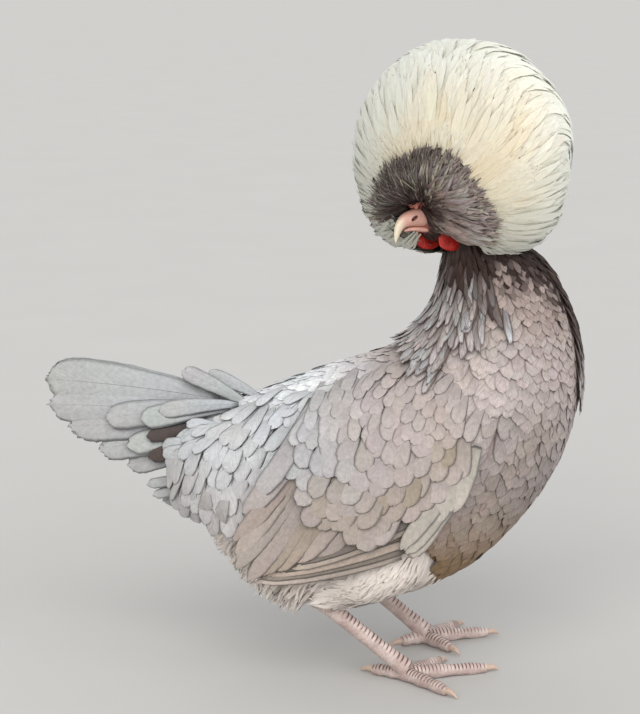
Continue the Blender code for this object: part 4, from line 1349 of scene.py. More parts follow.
def makeTail():
    vanes = [
        (np.multiply(root, (1, sign, 1)), np.multiply(tip, (1, sign, 1)), width, kind, sign)
        for sign in sides.values() for root, tip, width, kind in tailVanes
    ]
    vanes += [(*vane, -1) for vane in strayVanes]
    look = {"camber": 0.07, "curl": 0.0, "thick": 0.8, "ragged": 0.015, "fray": 0.008, "notch": 0.10}
    lots = []
    for kind, settings in tailKinds.items():
        roots, tips, widths, _, signs = zip(*(vane for vane in vanes if vane[3] == kind))
        root, tip, sign = np.array(roots, float), np.array(tips, float), np.array(signs)
        out = columns(0, sign, 0.25)
        count = len(root)
        middle = (root + tip) / 2 + out * 1.2 + (0, 0, 1.5)
        lot = {"root": root, "middle": middle, "tip": tip, "rootUp": out, "tipUp": out}
        lot["width"] = np.array(widths, float)
        loosen(lot, 0.04)
        tone = same(settings["tone"], count)
        paintLot(lot, tone=(tone, 0.03), tipTone=(tone * (1.0, 0.98, 0.94), 0.03), edge=(tone * 0.55, 0.05))
        lot["place"] = np.stack([0.5 + 0.25 * sign + (root[:, 0] + 60) * 0.004, root[:, 2] * 0.004 - 0.2], -1)
        lots.append((featherForm("broad", *settings["grid"], solid=True), lot, look))
    return layCoat("tail_feathers", tailFeather, lots)


print("laying the tail")
piece = makeTail()
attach(piece, "root")
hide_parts("tail")


# Crest
crestLook = {
    "rough": 0.85, "tip": 0.15, "shaft": 0.08, "barbs": 1.5, "lean": 6.0, "streaks": 0.16, "spots": 0.05,
    "shaftShare": 0.1, "shaftTone": (0.75, 0.70, 0.58), "bump": 0.15, "sheen": 0.1, "gloss": 0.05, "even": 0.9,
}
crestFeather = featherMaterial("crest_feathers", crestLook)
forehead = headPoint(19, 0, 14)
# How far from the pole the dark face reaches, in degrees, by the turn round it.
faceReaches = [
    (-180, 60), (-160, 55), (-145, 50), (-135, 40), (-115, 36), (-98, 32), (-80, 29), (-61, 29), (-43, 31),
    (-8, 35), (20, 31), (58, 34), (77, 35), (96, 37), (111, 41), (138, 40), (150, 38), (160, 42), (170, 55),
    (180, 60),
]
# What the feathers of crest and face keep off, as ovals and a box in the head's axes: middle and half sizes.
billRoom = ((34, 0, 3), (19, 9, 15))
wattleRoom = ((13, 2, -15), (19, 16, 11))
beardBox = ((12, 2, -19), (21, 20, 14))


def faceReach(turn):
    return np.interp(turn, *zip(*faceReaches))


def crestPlace(polar, turn):
    far, angle = polar / 180 * 0.47, np.radians(turn)
    return np.stack([0.5 + far * np.sin(angle), 0.5 + far * np.cos(angle)], -1)


def crestFlow(way):
    # the way the crest's feathers lie: away from the face, and down at the back of the head
    behind = smooth(-0.15, 0.7, -(way @ facePole))
    return layFlat(-facePole + np.array([0, 0, -3.2]) * behind[:, None], way)


def clearOfFace(lot, grow=1.0):
    # true where a feather keeps off the bill, the wattles and the neck
    free = np.ones(len(lot["root"]), bool)
    for t in (0.25, 0.5, 0.75, 1.0):
        point, _ = curve(lot["root"], lot["middle"], lot["tip"], t)
        head = inHead(point)
        for middle, sizes in (billRoom, wattleRoom):
            free &= (((head - middle) / (np.array(sizes) * grow)) ** 2).sum(-1) > 1
        if grow >= 1:
            middle, sizes = beardBox
            free &= ~(np.abs(head - middle) < sizes).all(-1)
        if t > 0.4:
            near, up = onSkin(point)
            free &= np.sum((point - near) * up, -1) > 1.0
    return free


def crestTone(way):
    # cream on the side the bill looks from, nearly white at the rim
    middle = smooth(0.35, 0.95, way @ unit(np.array([0.10, -0.95, 0.05])))
    stained = 0.35 * patches(way * crestRadius, 15, 1.5) * smooth(0.1, 0.8, -way[:, 1])
    warm = np.clip(0.14 + middle * 0.55 + stained + chance.normal(0, 0.05, len(way)), 0, 1)
    # painted light: the side of the crest towards the bird's front is painted up to 22% brighter, lifting the
    # shade of its slits there
    return blend(colours["white"], colours["cream"], warm) * (1 + 0.22 * smooth(0.1, 0.8, way[:, 0]))[:, None]


def crestLayer(layer):
    # one layer of feathers over the globe: their tips are spread evenly, and they lie along its flow
    way = unit(chance.normal(0, 1, (layer["candidates"], 3)))
    polar = np.degrees(np.arccos(np.clip(way @ facePole, -1, 1)))
    turn = np.degrees(np.arctan2(way @ faceAcross, way @ faceUp))
    under = smooth(122, 140, np.abs(turn + 8))  # below the bill the lining ends and the fine feathers go on
    clear = layer["clear"][0] * (1 - under) + layer["clear"][1] * under
    way, polar, turn = pick((way[:, 2] > -0.92) & (polar > faceReach(turn) + clear), way, polar, turn)
    way, polar, turn = pick(thinOut(way * crestRadius, np.full(len(way), layer["apart"])), way, polar, turn)
    count = len(way)
    inner = polar - faceReach(turn)
    arc = np.maximum(np.minimum(chance.uniform(*layer["arc"], count), inner + layer["inside"]), 9)
    half = np.radians(arc / 2)[:, None]

    def backwards(start, stray):
        back = start * np.cos(half) - crestFlow(start) * np.sin(half)
        return unit(back + chance.normal(0, stray, (count, 3)))

    middleWay = backwards(way, 0.012)
    rootWay = backwards(middleWay, 0.02)
    # the left of the globe is a little flatter than the right
    uneven = 0.012 * drift(way * crestRadius, 16, 0.7)
    radius = crestRadius * (1 - 0.035 * smooth(0.3, 1, -way[:, 0]) + uneven)
    # tips stand out more towards the back of the head
    straying = chance.uniform(0.01, 0.055, count)
    straying = straying * (chance.uniform(0, 1, count) < layer["stray"] * smooth(55, 85, polar))
    far = 1.0 + chance.normal(0, layer["uneven"], count) + straying
    low, mid, high = layer["depths"]
    lot = {
        "root": globe(rootWay, radius * low), "middle": globe(middleWay, radius * mid * (far + 1) / 2),
        "tip": globe(way, radius * high * far), "rootUp": rootWay, "tipUp": way,
    }
    lot["width"] = chance.uniform(*layer["width"], count) * np.interp(inner, (0, 12, 34), (0.35, 0.5, 1))
    loosen(lot, 0.02, 0.04)
    tone = crestTone(way)
    rootTone, edge = tone * (0.97, 0.95, 0.90), tone * (0.95, 0.93, 0.88)
    paintLot(lot, tone=(rootTone, 0.015), tipTone=(tone, 0.015), edge=(edge, 0.015))
    lot["place"] = crestPlace(polar, turn)
    return chosen(lot, clearOfFace(lot))


crestLayers = {
    "lining": {
        "candidates": 30000, "clear": (5, 30), "apart": 4.6, "arc": (34, 48), "inside": 3,
        "depths": (0.88, 0.955, 0.984), "width": (12, 17), "uneven": 0.002, "stray": 0,
    },
    "silk": {
        "candidates": 160000, "clear": (6, 1), "apart": 2.1, "arc": (24, 42), "inside": 0,
        "depths": (0.967, 0.995, 1.0), "width": (4.5, 8), "uneven": 0.002, "stray": 0.25,
    },
    "beard": {
        "candidates": 60000, "clear": (99, -6), "apart": 1.5, "arc": (12, 22), "inside": 9,
        "depths": (0.93, 0.985, 1.0), "width": (3, 5.5), "uneven": 0.012, "stray": 0.3,
    },
}


def makeCrest():
    forms = {"lining": featherForm("lock", 2, 6), "silk": featherForm("silk", 2, 8)}
    forms["beard"] = forms["silk"]
    look = {"camber": 0.015, "curl": 0.0, "ragged": 0.05, "fray": 0.02, "notch": 0.06}
    lots = {key: crestLayer(layer) for key, layer in crestLayers.items()}
    pieces = []
    for side, sign in sides.items():
        for half, up in (("top", 1), ("low", -1)):
            parts = []
            for key, lot in lots.items():
                far = lot["tip"] - crestCentre
                parts.append((forms[key], chosen(lot, (far[:, 1] * sign > 0) & (far[:, 2] * up >= 0)), look))
            pieces.append(layCoat(f"crest_{side}_{half}", crestFeather, parts))
    return pieces


print("laying the crest")
for piece in makeCrest():
    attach(piece, "root")
    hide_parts("crest")


# Face: dark feathers over the forehead, the skull and the cheeks
faceLook = {
    "rough": 0.7, "lace": 0.5, "tip": 0.3, "shaft": 0.12, "barbs": 1.8, "lean": 5.0, "streaks": 0.4,
    "spots": 0.15, "laceShare": 0.6, "shaftShare": 0.3, "shaftTone": (0.05, 0.035, 0.03), "bump": 0.3,
    "sheen": 0.0, "gloss": 0.12, "even": 0.35,
}
faceFeather = featherMaterial("face_feathers", faceLook)
faceFan = {
    "count": 6400, "turns": (-165, 132), "length": (0.22, 1.0), "reach": (0.76, 1.06), "rise": 2.4,
    "bulge": (5.0, 7.0),
    "widthBy": ((-165, -60, -20, 20, 132), (5.4, 5.0, 2.8, 1.15, 1.0)),
    "strandBy": ((-80, -40, 0, 30, 132), (0.06, 0.30, 0.26, 0.12, 0.08)),
    "lowestBy": ((78, 84, 108, 118, 140), (290, 319, 319, 313, 311)),
    "shape": {"camber": 0.12, "curl": 0.04, "ragged": 0.12, "fray": 0.04, "notch": 0.0},
}


def makeFaceFeathers():
    # dark feathers that fan out from above the bill, hair-like over it and broader towards the cheek
    count = faceFan["count"]
    turn = chance.uniform(*faceFan["turns"], count)
    turn = np.where((turn < -10) & (np.arange(count) % 3 == 0), chance.uniform(0, 132, count), turn)
    share = chance.uniform(*faceFan["length"], count) ** 0.75
    polar = faceReach(turn) * chance.uniform(*faceFan["reach"], count)
    onGlobe = globe(crestWay(polar, turn), crestRadius + faceFan["rise"] + chance.normal(0, 0.6, count))
    base = forehead + crestWay(np.full(count, 90.0), turn) * chance.uniform(1, 7, count)[:, None]
    tip = base + (onGlobe - base) * share[:, None]
    least, more = faceFan["bulge"]
    bulge = facePole * (least + more * (1 - share))[:, None]
    tip = tip + bulge * 0.6
    start = base + unit(tip - base) * (14 * chance.uniform(0, 1, count) * share)[:, None]
    lot = {"root": start, "middle": (start + tip) / 2 + bulge * 0.7, "tip": tip}
    lot["rootUp"], lot["tipUp"] = same(facePole, count), unit(facePole + crestWay(polar, turn))
    width = np.interp(turn, *faceFan["widthBy"])
    lot["width"] = width * np.interp(share, (0.3, 1), (0.7, 1.1)) * chance.uniform(0.7, 1.3, count)
    loosen(lot, 0.3, 0.12)
    right = smooth(10, -70, turn)
    pale = np.clip(right * 0.8 * smooth(0.3, 0.85, share) + chance.normal(0, 0.14, count), 0, 1)
    outer = np.clip(smooth(0.35, 0.95, share) * 0.85 + chance.normal(0, 0.15, count), 0, 1)
    tone = blend(colours["dark"] * 1.3, colours["sooty"], outer)
    tone = blend(tone, colours["lavender"] * (1.2, 0.98, 0.88), pale)
    strand = chance.uniform(0, 1, count) < np.interp(turn, *faceFan["strandBy"]) * smooth(0.4, 0.8, share)
    tone = np.where(strand[:, None], colours["cream"] * 0.75, tone)
    tipTone = blend(tone, colours["pale"], pale * 0.6 + 0.05 + 0.25 * smooth(0.75, 1, share))
    edge = blend(tone, colours["brown"], 0.5)
    paintLot(lot, tone=(tone * 0.65, 0.15), tipTone=(tipTone, 0.12), edge=(edge, 0.15))
    lot["place"] = crestPlace(polar * share, turn)
    # none hangs over the wattles
    high = lot["tip"][:, 2] > np.interp(lot["tip"][:, 0], *faceFan["lowestBy"])
    lot = chosen(lot, clearOfFace(lot, 0.88) & high)
    return layCoat("face_feathers", faceFeather, [(featherForm("silk", 2, 7), lot, faceFan["shape"])])


piece = makeFaceFeathers()
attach(piece, "root")
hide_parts("crest")


def makeHeadFeathers():
    # short dark feathers on the skull, the cheeks and the throat
    count = 12000
    a, b = chance.uniform(0, fullTurn, count), chance.uniform(-1, 1, count)
    ring = np.sqrt(1 - b**2)
    local = np.stack([b * 26, ring * np.cos(a) * 17, ring * np.sin(a) * 19 + 2], -1)
    near, normal = onSkin(headCentre + local @ np.stack([headForward, headLeft, headUp]))
    near, normal = pick(thinOut(near, np.full(count, 2.1)), near, normal)
    head = inHead(near)
    forward, left, up = head.T
    # bare round the eye, at the base of the bill and at the ear
    bare = (np.hypot(forward - 11, up - 5) < 5.6) & (np.abs(left) > 5)
    bare |= (forward > 20.5) & (up < 9)
    bare |= np.hypot(forward - 9, up + 12) < 4.5
    near, normal, head = pick(~bare, near, normal, head)
    forward, left, up = head.T
    count = len(near)
    way = layFlat(-headForward - headUp * 0.45 + chance.normal(0, 0.12, (count, 3)), normal)
    lot = lieOnSkin(near, way, chance.uniform(7, 10, count), (-0.3, 1.2, 2.2))
    tone = same(colours["dark"] * 1.3, count)
    lot["width"] = chance.uniform(2.0, 3.0, count)
    loosen(lot, 0.2)
    paintLot(lot, tone=(tone, 0.2), edge=(tone * 1.5, 0.2))
    lot["place"] = np.stack([0.5 + forward * 0.008, 0.5 + np.arctan2(left, up) * 0.15], -1)
    look = {"camber": 0.15, "curl": 0.04, "ragged": 0.08, "fray": 0.03, "notch": 0.0}
    lots = [(featherForm("lock", 2, 4), lot, look), (featherForm("silk", 2, 6), cheekLot(), look)]
    return layCoat("head_feathers", faceFeather, lots)


def cheekLot():
    # strands that fall from the brow past the bill's base and the eye, on both sides
    count = 420
    sign = np.where(chance.uniform(0, 1, count) < 0.5, -1.0, 1.0)
    forward, up = chance.uniform(4, 24, count), chance.uniform(8, 14.5, count)
    browRound = np.sqrt(np.clip(1 - ((up - 4) / 15) ** 2, 0.1, 1))
    across = sign * np.interp(forward, (4, 14, 24), (14, 11.5, 6.5)) * browRound
    root = headPoint(forward[:, None], across[:, None], up[:, None])
    out = unit(headLeft * sign[:, None] + headUp * 0.3)
    length = (chance.uniform(9, 15, count) * np.interp(forward, (4, 24), (1.15, 0.85)))[:, None]
    way = -headForward * chance.uniform(0.25, 0.75, count)[:, None] - headUp
    way = unit(way + chance.normal(0, 0.10, (count, 3)))
    lot = {"root": root, "middle": root + way * length * 0.5 + out * 2.6, "rootUp": out, "tipUp": out}
    lot["tip"] = root + way * length + out * chance.uniform(0.5, 2.5, count)[:, None]
    lot["width"] = chance.uniform(1.5, 2.8, count)
    loosen(lot, 0.25)
    tone = same(colours["dark"] * 1.5, count)
    paintLot(lot, tone=(tone, 0.25), tipTone=(tone * 1.8, 0.25), edge=(tone * 1.4, 0.2))
    lot["place"] = np.stack([0.5 + forward * 0.008, 0.5 + sign * 0.2 + up * 0.004], -1)
    return lot


piece = makeHeadFeathers()
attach(piece, "root")
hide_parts("head")


# Down on the belly, the vent and the thighs
downLook = {
    "rough": 0.9, "lace": 0.5, "tip": 0.4, "shaft": 0.1, "barbs": 2.6, "lean": 6.0, "streaks": 0.16,
    "spots": 0.08, "shaftShare": 0.1, "shaftTone": (0.50, 0.44, 0.40), "bump": 0.1, "sheen": 0.2,
    "gloss": 0.05, "even": 0.85,
}
downFeather = featherMaterial("down", downLook)
thighDown = {
    "samples": 22000, "reach": (-0.25, 1.04), "apart": 1.55,
    "lengthBy": ((-0.2, 0.6, 1.04), (20, 20, 13)), "highBy": ((0, 0.8, 1.04), (5.2, 4.8, 3.4)),
}
bellyDown = {
    "samples": 30000, "reach": (0.2, 5.6), "apart": 1.9,
    "topBy": ((-90, -60, 0, 40, 60), (150, 118, 96, 84, 70)),
    "droopBy": ((-80, -40, 0, 20), (-1.0, -1.5, -1.2, -0.35)),
    "lengthBy": ((-80, -45, 5, 30), (1, 1.3, 1.3, 1)),
    "hangBy": ((-78, -48, -20, 12, 30), (0.3, 0.8, 1.5, 1.5, 0)),
}


def paintDown(lot, roll):
    tone = same(colours["down"], len(lot["root"]))
    loosen(lot, roll, 0.10)
    paintLot(lot, tone=(tone * 0.95, 0.03), tipTone=(tone * 1.03, 0.03), edge=(tone, 0.03))


def thighLot(leg):
    knee, hock = leg["knee"], leg["hock"]
    count = thighDown["samples"]
    t, a = chance.uniform(*thighDown["reach"], count), chance.uniform(0, fullTurn, count)
    along = unit(hock - knee)
    across = unit(np.cross(along, [0, 0, 1]))
    around = across * np.cos(a)[:, None] + np.cross(across, along) * np.sin(a)[:, None]
    near, normal = onSkin(knee + (hock - knee) * t[:, None] + around * 30)
    near, normal, t, a = pick(thinOut(near, np.full(count, thighDown["apart"])), near, normal, t, a)
    count = len(near)
    behind = smooth(0.1, 0.8, t)[:, None] * np.array([-0.35, 0, -0.1])
    way = along * 0.8 + np.array([-0.1, 0, -0.5]) + behind + chance.normal(0, 0.06, (count, 3))
    way = layFlat(way, normal)
    length = np.interp(t, *thighDown["lengthBy"]) * chance.uniform(0.8, 1.2, count)
    high = np.interp(t, *thighDown["highBy"]) * chance.uniform(0.85, 1.1, count)
    lot = lieOnSkin(near, way, length, columns(-0.5, high * 0.7, high))
    lot["width"] = chance.uniform(2.0, 4.2, count)
    paintDown(lot, 0.10)
    middle = 0.25 + 0.5 * (hock[1] > 0)
    lot["place"] = np.stack([middle + (t - 0.4) * 0.3, (a % fullTurn) / 6.4 * 0.4 + 0.05], -1)
    return lot


def bellyLot():
    s, a = bodySamples(bellyDown["samples"], *bellyDown["reach"])
    points, normal, way = bodyFrame(s, a)
    under = (np.cos(a) < -0.25) & (points[:, 2] < np.interp(points[:, 0], *bellyDown["topBy"]))
    s, a, points, normal, way = pick(under, s, a, points, normal, way)
    kept = thinOut(points, np.full(len(points), bellyDown["apart"]))
    s, a, points, normal, way = pick(kept, s, a, points, normal, way)
    count = len(s)
    x, y, _ = points.T
    way = way + columns(-0.2, 0 * x, np.interp(x, *bellyDown["droopBy"])) + chance.normal(0, 0.14, (count, 3))
    way = layFlat(way, normal, 0.8)
    length = chance.uniform(17, 26, count) * np.interp(x, *bellyDown["lengthBy"])
    lot = lieOnSkin(points, way, length, (-0.5, 4.4, 6.4), 0.5)
    hanging = np.interp(x, *bellyDown["hangBy"])[:, None] * chance.uniform(0.45, 1.1, (count, 1))
    lot["middle"] = lot["middle"] + hanging * (-2, 0, -5)
    lot["tip"] = lot["tip"] + hanging * (-2, 0, -15)
    outward = columns(-0.3, np.sign(y), 0.2)
    for key in ("rootUp", "tipUp"):
        lot[key] = unit(blend(lot[key], outward, np.clip(hanging[:, 0], 0, 1)))
    lot["width"] = chance.uniform(2.0, 4.0, count)
    paintDown(lot, 0.12)
    lot["place"] = bodyPlace(s, a) * (1, 0.45) + (0, 0.52)
    return lot


def makeDown():
    form = featherForm("wisp", 2, 5)
    look = {"camber": 0.03, "curl": 0.03, "ragged": 0.12, "fray": 0.06, "notch": 0.0}
    lots = [thighLot(leg) for leg in legs.values()] + [bellyLot()]
    return layCoat("down", downFeather, [(form, lot, look) for lot in lots])


print("laying the down")
piece = makeDown()
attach(piece, "root")
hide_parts("thigh_left", "thigh_right", "torso")


# Bill, comb, wattles, eyes


def softMaterial(name, scatter, scatterScale, **sockets):
    # a material that light enters a little
    material, tree, shader = newMaterial(name, **sockets)
    shader.inputs["Subsurface Radius"].default_value = scatter
    shader.inputs["Subsurface Scale"].default_value = scatterScale
    return material, tree, shader


def hornMaterial():
    # pink at the base and pale cream at the hook, by the head's own forward distance
    material, tree, shader = softMaterial(
        "bill_horn", (0.004, 0.002, 0.0015), 0.5, Roughness=0.38, Subsurface_Weight=0.15, Coat_Weight=0.15
    )
    grain = noise(tree, objectPlace(tree), 900)
    hook = ramp(tree, attribute(tree, "forward"), 36.0, 44.0)
    colour = mixColour(tree, hook, (0.72, 0.40, 0.32), (0.80, 0.72, 0.54))
    pale = calc(tree, "MULTIPLY", ramp(tree, grain, 0.4, 0.8), 0.35)
    colour = mixColour(tree, pale, colour, (0.80, 0.56, 0.46))
    # painted shade: inside the nostril caves the horn is painted near-black red, the shadow in the cave over
    # its red lining
    colour = mixColour(tree, attribute(tree, "nostrilShade"), colour, (0.10, 0.012, 0.010))
    link(tree, colour, shader.inputs["Base Color"])
    link(tree, bump(tree, grain, 0.15, 0.0004), shader.inputs["Normal"])
    return material


nostril = {"forward": 30.5, "up": 5.2, "long": 3.0, "tall": 1.7, "lean": 0.35, "deep": 2.2, "lip": 0.5}


def makeBill():
    material = hornMaterial()
    pieces = []
    for name, stations, square in (("bill_upper_horn", upperBill, 0.85), ("bill_lower_horn", lowerBill, 0.9)):
        piece = finishPiece(name, wrapGrid(64, 90, headLoft(stations, 0.0, square)), material)
        points = pointsOf(piece.data)
        head = inHead(points)
        nostrilShade = np.zeros(len(points))
        if stations is upperBill:
            # the nostrils sink in as deep oval caves
            ahead = head[:, 0] - nostril["forward"]
            above = head[:, 2] - nostril["up"] + nostril["lean"] * ahead
            away = np.sqrt((ahead / nostril["long"]) ** 2 + (above / nostril["tall"]) ** 2)
            lip = smooth(1.5, 1.15, away) * smooth(0.85, 1.1, away)
            for sign in (1, -1):
                mine = head[:, 1] * sign > 0.8
                points -= headLeft * (sign * nostril["deep"] * smooth(1.0, 0.4, away) * mine)[:, None]
                points += headLeft * (sign * nostril["lip"] * lip * mine)[:, None]
                # each cave's middle is marked for the painted shade
                nostrilShade = np.maximum(nostrilShade, smooth(1.05, 0.7, away) * mine)
            piece.data.vertices.foreach_set("co", (points * mm).ravel())
        setValues(piece.data, "forward", head[:, 0])
        setValues(piece.data, "nostrilShade", nostrilShade)
        pieces.append(piece)
    return pieces


print("making the bill")
for piece, node in zip(makeBill(), ("bill_upper", "bill_lower")):
    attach(piece, "root")
    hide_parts(node)


def fleshMaterial(name, deep, bright, rough):
    material, tree, shader = softMaterial(
        name, (0.006, 0.0015, 0.001), 0.4, Roughness=rough, Subsurface_Weight=0.2, Coat_Weight=0.1
    )
    patchy = noise(tree, objectPlace(tree), 160)
    link(tree, mixColour(tree, ramp(tree, patchy, 0.3, 0.7), deep, bright), shader.inputs["Base Color"])
    link(tree, bump(tree, cells(tree, "SMOOTH_F1", 900), 0.5, 0.0006), shader.inputs["Normal"])
    return material


def softBlob(name, centre, sizes, material, shape=None):
    # an oval of flesh in the head's axes; shape moves its unit points first
    bm = bmesh.new()
    bmesh.ops.create_uvsphere(bm, u_segments=32, v_segments=20, radius=1)
    for vert in bm.verts:
        p = np.array(vert.co)
        if shape:
            p = shape(p)
        vert.co = Vector(headPoint(*(np.array(centre) + p * sizes)) * mm)
    bmesh.ops.recalc_face_normals(bm, faces=bm.faces)
    return finishPiece(name, bm, material)


def pendant(p):
    # a thin leaf of flesh, widest low down, with a soft fold
    low = smooth(0.3, -1, p[2])
    fold = 0.35 * math.sin(2.6 * p[0] + 0.6) * (1 - abs(p[1]))
    return np.array([p[0] * (0.72 + 0.30 * low) + 0.30 * p[2], p[1] * (0.75 + 0.35 * low) + fold, p[2]])


def bumpy(p):
    return p * (1 + 0.14 * math.sin(5 * p[0] + 2 * p[2]) * math.cos(4 * p[2]))


def makeFlesh():
    red = fleshMaterial("wattle_skin", (0.42, 0.012, 0.010), (0.62, 0.035, 0.02), 0.42)
    pink = fleshMaterial("comb_skin", (0.50, 0.16, 0.12), (0.70, 0.33, 0.25), 0.45)
    lobe = fleshMaterial("lobe_skin", (0.62, 0.55, 0.52), (0.80, 0.76, 0.72), 0.5)
    for side, sign in sides.items():
        place = (7.5 - 3.5 * sign, sign * 8.5, -12.8)
        piece = softBlob("wattle_leaf_" + side, place, (12.8, 2.8, 7.9), red, pendant)
        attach(piece, "root")
        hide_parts("wattle_" + side)
        piece = softBlob("ear_" + side, (-1, sign * 15.4, -6), (3.4, 2, 4.6), lobe, bumpy)
        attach(piece, "root")
        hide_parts("earlobe_" + side)
    horns = [softBlob("horn", (27.5, sign * 2.3, 15.5), (3.4, 2.6, 4.4), pink, bumpy) for sign in (1, -1)]
    comb = joinPieces("comb_knobs", horns, pink)
    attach(comb, "root")
    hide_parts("comb")


print("making the comb and wattles")
makeFlesh()

eyeForm = {
    "radius": 5.2, "place": (11, 11.6, 5.5), "lidWide": 5.0, "lidTall": 4.0, "lidThick": 1.1, "lidOut": 2.9,
}


def eyeMaterial():
    # pupil, iris and dark rim by the distance from the eye's middle
    material, tree, shader = newMaterial("eye_gloss", Roughness=0.08, Coat_Weight=1.0, Coat_Roughness=0.03)
    away = attribute(tree, "away")
    iris = mixColour(tree, noise(tree, objectPlace(tree), 1500, 2), (0.42, 0.10, 0.02), (0.62, 0.22, 0.05))
    colour = mixColour(tree, ramp(tree, away, 0.40, 0.44), (0.004, 0.003, 0.003), iris)
    colour = mixColour(tree, ramp(tree, away, 0.80, 0.90), colour, (0.05, 0.02, 0.015))
    link(tree, colour, shader.inputs["Base Color"])
    return material


def lidRim(sign):
    forward, sideways, up = eyeForm["place"]

    def rim(around, along):
        # a ring of folded skin round the eye's opening
        a, b = around * fullTurn, along * fullTurn
        r = eyeForm["lidThick"] * (1 + 0.18 * math.sin(9 * a))
        f = forward + (eyeForm["lidWide"] + r * math.cos(b)) * math.cos(a)
        u = up + (eyeForm["lidTall"] + r * math.cos(b)) * math.sin(a)
        return headPoint(f, sign * (sideways + eyeForm["lidOut"] + r * 0.8 * math.sin(b)), u)
    return rim


def makeEyes():
    gloss = eyeMaterial()
    lidFlesh = fleshMaterial("lid_skin", (0.34, 0.10, 0.08), (0.50, 0.20, 0.15), 0.6)
    radius = eyeForm["radius"]
    for side, sign in sides.items():
        centre = np.multiply(eyeForm["place"], (1, sign, 1))
        piece = softBlob("eyeball_" + side, centre, [radius] * 3, gloss)
        local = inHead(pointsOf(piece.data)) - centre
        setValues(piece.data, "away", np.hypot(local[:, 0], local[:, 2]) / radius + (local[:, 1] * sign < 0))
        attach(piece, "root")
        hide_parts("eye_" + side)
        lid = finishPiece("eyelid_" + side, wrapGrid(40, 10, lidRim(sign)), lidFlesh)
        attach(lid, "root")
        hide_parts("head")


print("making the eyes")
makeEyes()


# Shanks, toes and claws
legForm = {
    "rowLength": 0.55, "step": 0.55, "shankRadii": (5.6, 1.4), "shankScute": 3.4, "toeScute": 2.8,
    "toeDrop": 3.8, "toeRows": 14, "toeTip": 3.0, "clawLength": 10, "clawRadii": (2.2, 2.3, 1.6, 0.35),
    "clawCurve": ((-2, 0), (2, 0.8), (6, 0.2), (10, -1.8)),
}


def scaleMaterial():
    # broad scutes in front, by how far along its own scute a point lies, and small scales behind and below
    material, tree, shader = softMaterial(
        "leg_scales", (0.003, 0.0015, 0.001), 0.5, Roughness=0.5, Subsurface_Weight=0.08
    )
    front = attribute(tree, "front")
    patchy = noise(tree, objectPlace(tree), 110, 4)
    seam = calc(tree, "MULTIPLY", ramp(tree, attribute(tree, "scute"), 0.55, 0.85), front)
    gap = calc(tree, "SUBTRACT", 1.0, ramp(tree, cells(tree, "DISTANCE_TO_EDGE", 560), 0.02, 0.22))
    small = calc(tree, "MULTIPLY", gap, calc(tree, "SUBTRACT", 1.0, front))
    # darker towards the end of each front scute and along the seams between the small scales
    seamDarkening = calc(tree, "MAXIMUM", seam, calc(tree, "MULTIPLY", small, 0.22))
    colour = mixColour(tree, ramp(tree, patchy, 0.35, 0.65), (0.47, 0.35, 0.32), (0.62, 0.51, 0.47))
    link(tree, mixColour(tree, seamDarkening, colour, (0.09, 0.045, 0.03)), shader.inputs["Base Color"])
    link(tree, bump(tree, calc(tree, "SUBTRACT", 1.0, seamDarkening), 0.6, 0.0006), shader.inputs["Normal"])
    return material


def scaledTube(name, points, radii, squash, scuteLength, material, flatBelow=None):
    # a tube whose upper side is stepped into scutes
    points = np.asarray(points, float)
    length = np.linalg.norm(np.diff(points, axis=0), axis=-1).sum()
    base = tubePlace(points, radii, squash)
    found = {}

    def place(around, along):
        p = np.asarray(base(around, along), float)
        middle = catmull(points, along * (len(points) - 1))
        front = float(smooth(0.15, 0.55, math.cos(around * fullTurn)))
        step = (along * length / scuteLength) % 1.0
        if 0.001 < along < 0.999:
            p = p + unit(p - middle) * front * legForm["step"] * (step**0.6 - 0.5)
        if flatBelow is not None:
            p[2] = max(p[2], flatBelow)
        found[tuple(np.round(p, 3))] = (step, front)
        return p

    piece = finishPiece(name, wrapGrid(20, int(length / legForm["rowLength"]), place), material)
    values = [found.get(tuple(np.round(np.array(v.co) / mm, 3)), (0.0, 0.0)) for v in piece.data.vertices]
    steps, fronts = zip(*values)
    setValues(piece.data, "scute", steps)
    setValues(piece.data, "front", fronts)
    return piece


def makeLegs():
    scales = scaleMaterial()
    claws = grainMaterial("claw_horn", 500, (0.38, 0.26, 0.20), (0.66, 0.50, 0.40), Roughness=0.4)
    least, more = legForm["shankRadii"]
    for side, leg in legs.items():
        hock, ball = leg["hock"], leg["ball"]
        shank = [hock + (ball - hock) * t for t in np.linspace(0, 1, 9)]
        radii = [least + more * abs(2 * k / 8 - 1) ** 3 for k in range(9)]
        parts = [scaledTube("shank", shank, radii, 0.85, legForm["shankScute"], scales)]
        for toe, (tipX, tipY) in leg["toes"].items():
            start = ball - (0, 0, legForm["toeDrop"])
            reach = np.array([tipX, tipY, legForm["toeTip"]]) - start
            bone = reach * (1 - legForm["clawLength"] / np.linalg.norm(reach))
            shares = [k / legForm["toeRows"] for k in range(legForm["toeRows"] + 1)]
            points = [start + bone * t + (0, 0, 0.5 * math.sin(math.pi * t)) for t in shares]
            radii = [5.4 - 1.9 * t + 0.35 * math.cos(t * 5 * math.pi) for t in shares]
            parts.append(scaledTube("toe", points, radii, 1.0, legForm["toeScute"], scales, flatBelow=0.0))
            way = unit(reach)
            clawPoints = [points[-1] + way * far + (0, 0, up) for far, up in legForm["clawCurve"]]
            grid = wrapGrid(16, 24, tubePlace(clawPoints, legForm["clawRadii"]))
            claw = finishPiece("claw_tip_" + side + "_" + toe, grid, claws)
            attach(claw, "root")
            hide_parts("claw_" + side + "_" + toe)
        foot = joinPieces("shank_and_toes_" + side, parts, scales)
        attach(foot, "root")
        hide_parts("leg_" + side)


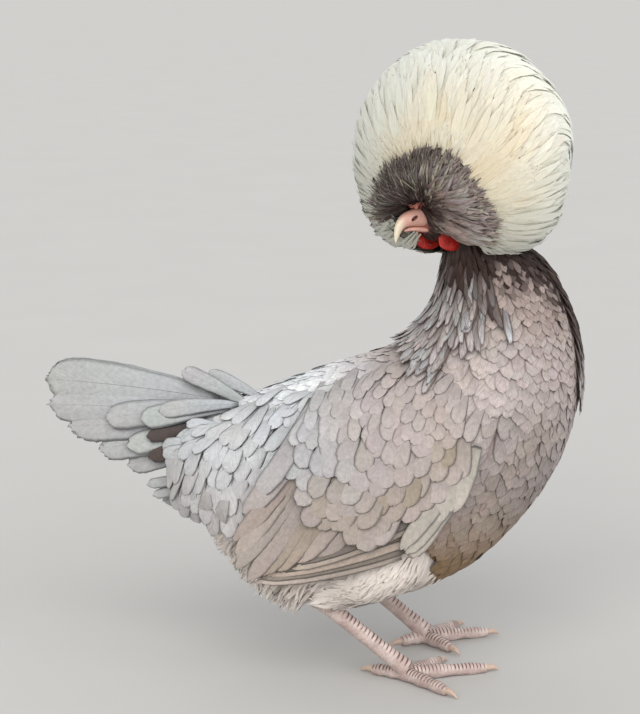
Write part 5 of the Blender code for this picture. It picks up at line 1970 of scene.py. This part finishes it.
print("making the legs")
makeLegs()


# Floor, lights and camera


def makeStage():
    settings = {"size": 60.0, "floor": (0.53, 0.52, 0.505), "sky": (0.97, 0.985, 1.0), "skyStrength": 0.70}
    bm = bmesh.new()
    bmesh.ops.create_grid(bm, x_segments=1, y_segments=1, size=settings["size"])
    soft = tuple(c * 0.95 for c in settings["floor"])
    material = grainMaterial("pale_floor", 6, settings["floor"], soft, Roughness=0.9, Specular_IOR_Level=0.0)
    floor = finishPiece("floor", bm, material, False)
    world = bpy.data.worlds.new("studio")
    world.use_nodes = True
    world.node_tree.nodes["Background"].inputs["Color"].default_value = (*settings["sky"], 1)
    world.node_tree.nodes["Background"].inputs["Strength"].default_value = settings["skyStrength"]
    bpy.context.scene.world = world
    suns = {  # place, strength, colour
        "key": ((-0.15, -1.0, 1.0), 1.85, (1.0, 0.985, 0.955)),
        "fill": ((1.4, -1.3, 0.9), 1.05, (0.97, 0.98, 1.0)),
        "back": ((-0.4, 1.4, 1.2), 0.5, (0.95, 0.98, 1.0)),
    }
    sunAngle = 0.9
    aim = Vector((0.03, 0, 0.22))
    for name, (place, strength, colour) in suns.items():
        lamp = bpy.data.lights.new(name, "SUN")
        lamp.angle = sunAngle
        lamp.energy = strength
        lamp.color = colour
        holder = bpy.data.objects.new(name, lamp)
        holder.location = place
        holder.rotation_euler = (aim - Vector(place)).to_track_quat("-Z", "Y").to_euler()
        bpy.context.scene.collection.objects.link(holder)


def makeCamera():
    settings = {"place": (0.005, -1.35, 0.50), "pitch": 11.41, "lens": 98.3}
    lens = bpy.data.cameras.new("photo_view")
    lens.lens = settings["lens"]
    lens.sensor_width = 36
    lens.sensor_fit = "AUTO"
    camera = bpy.data.objects.new("photo_view", lens)
    camera.location = settings["place"]
    camera.rotation_euler = (math.radians(90 - settings["pitch"]), 0, 0)
    bpy.context.scene.collection.objects.link(camera)
    bpy.context.scene.camera = camera


print("setting the stage")
makeStage()
makeCamera()
bpy.context.scene.view_settings.view_transform = "Standard"
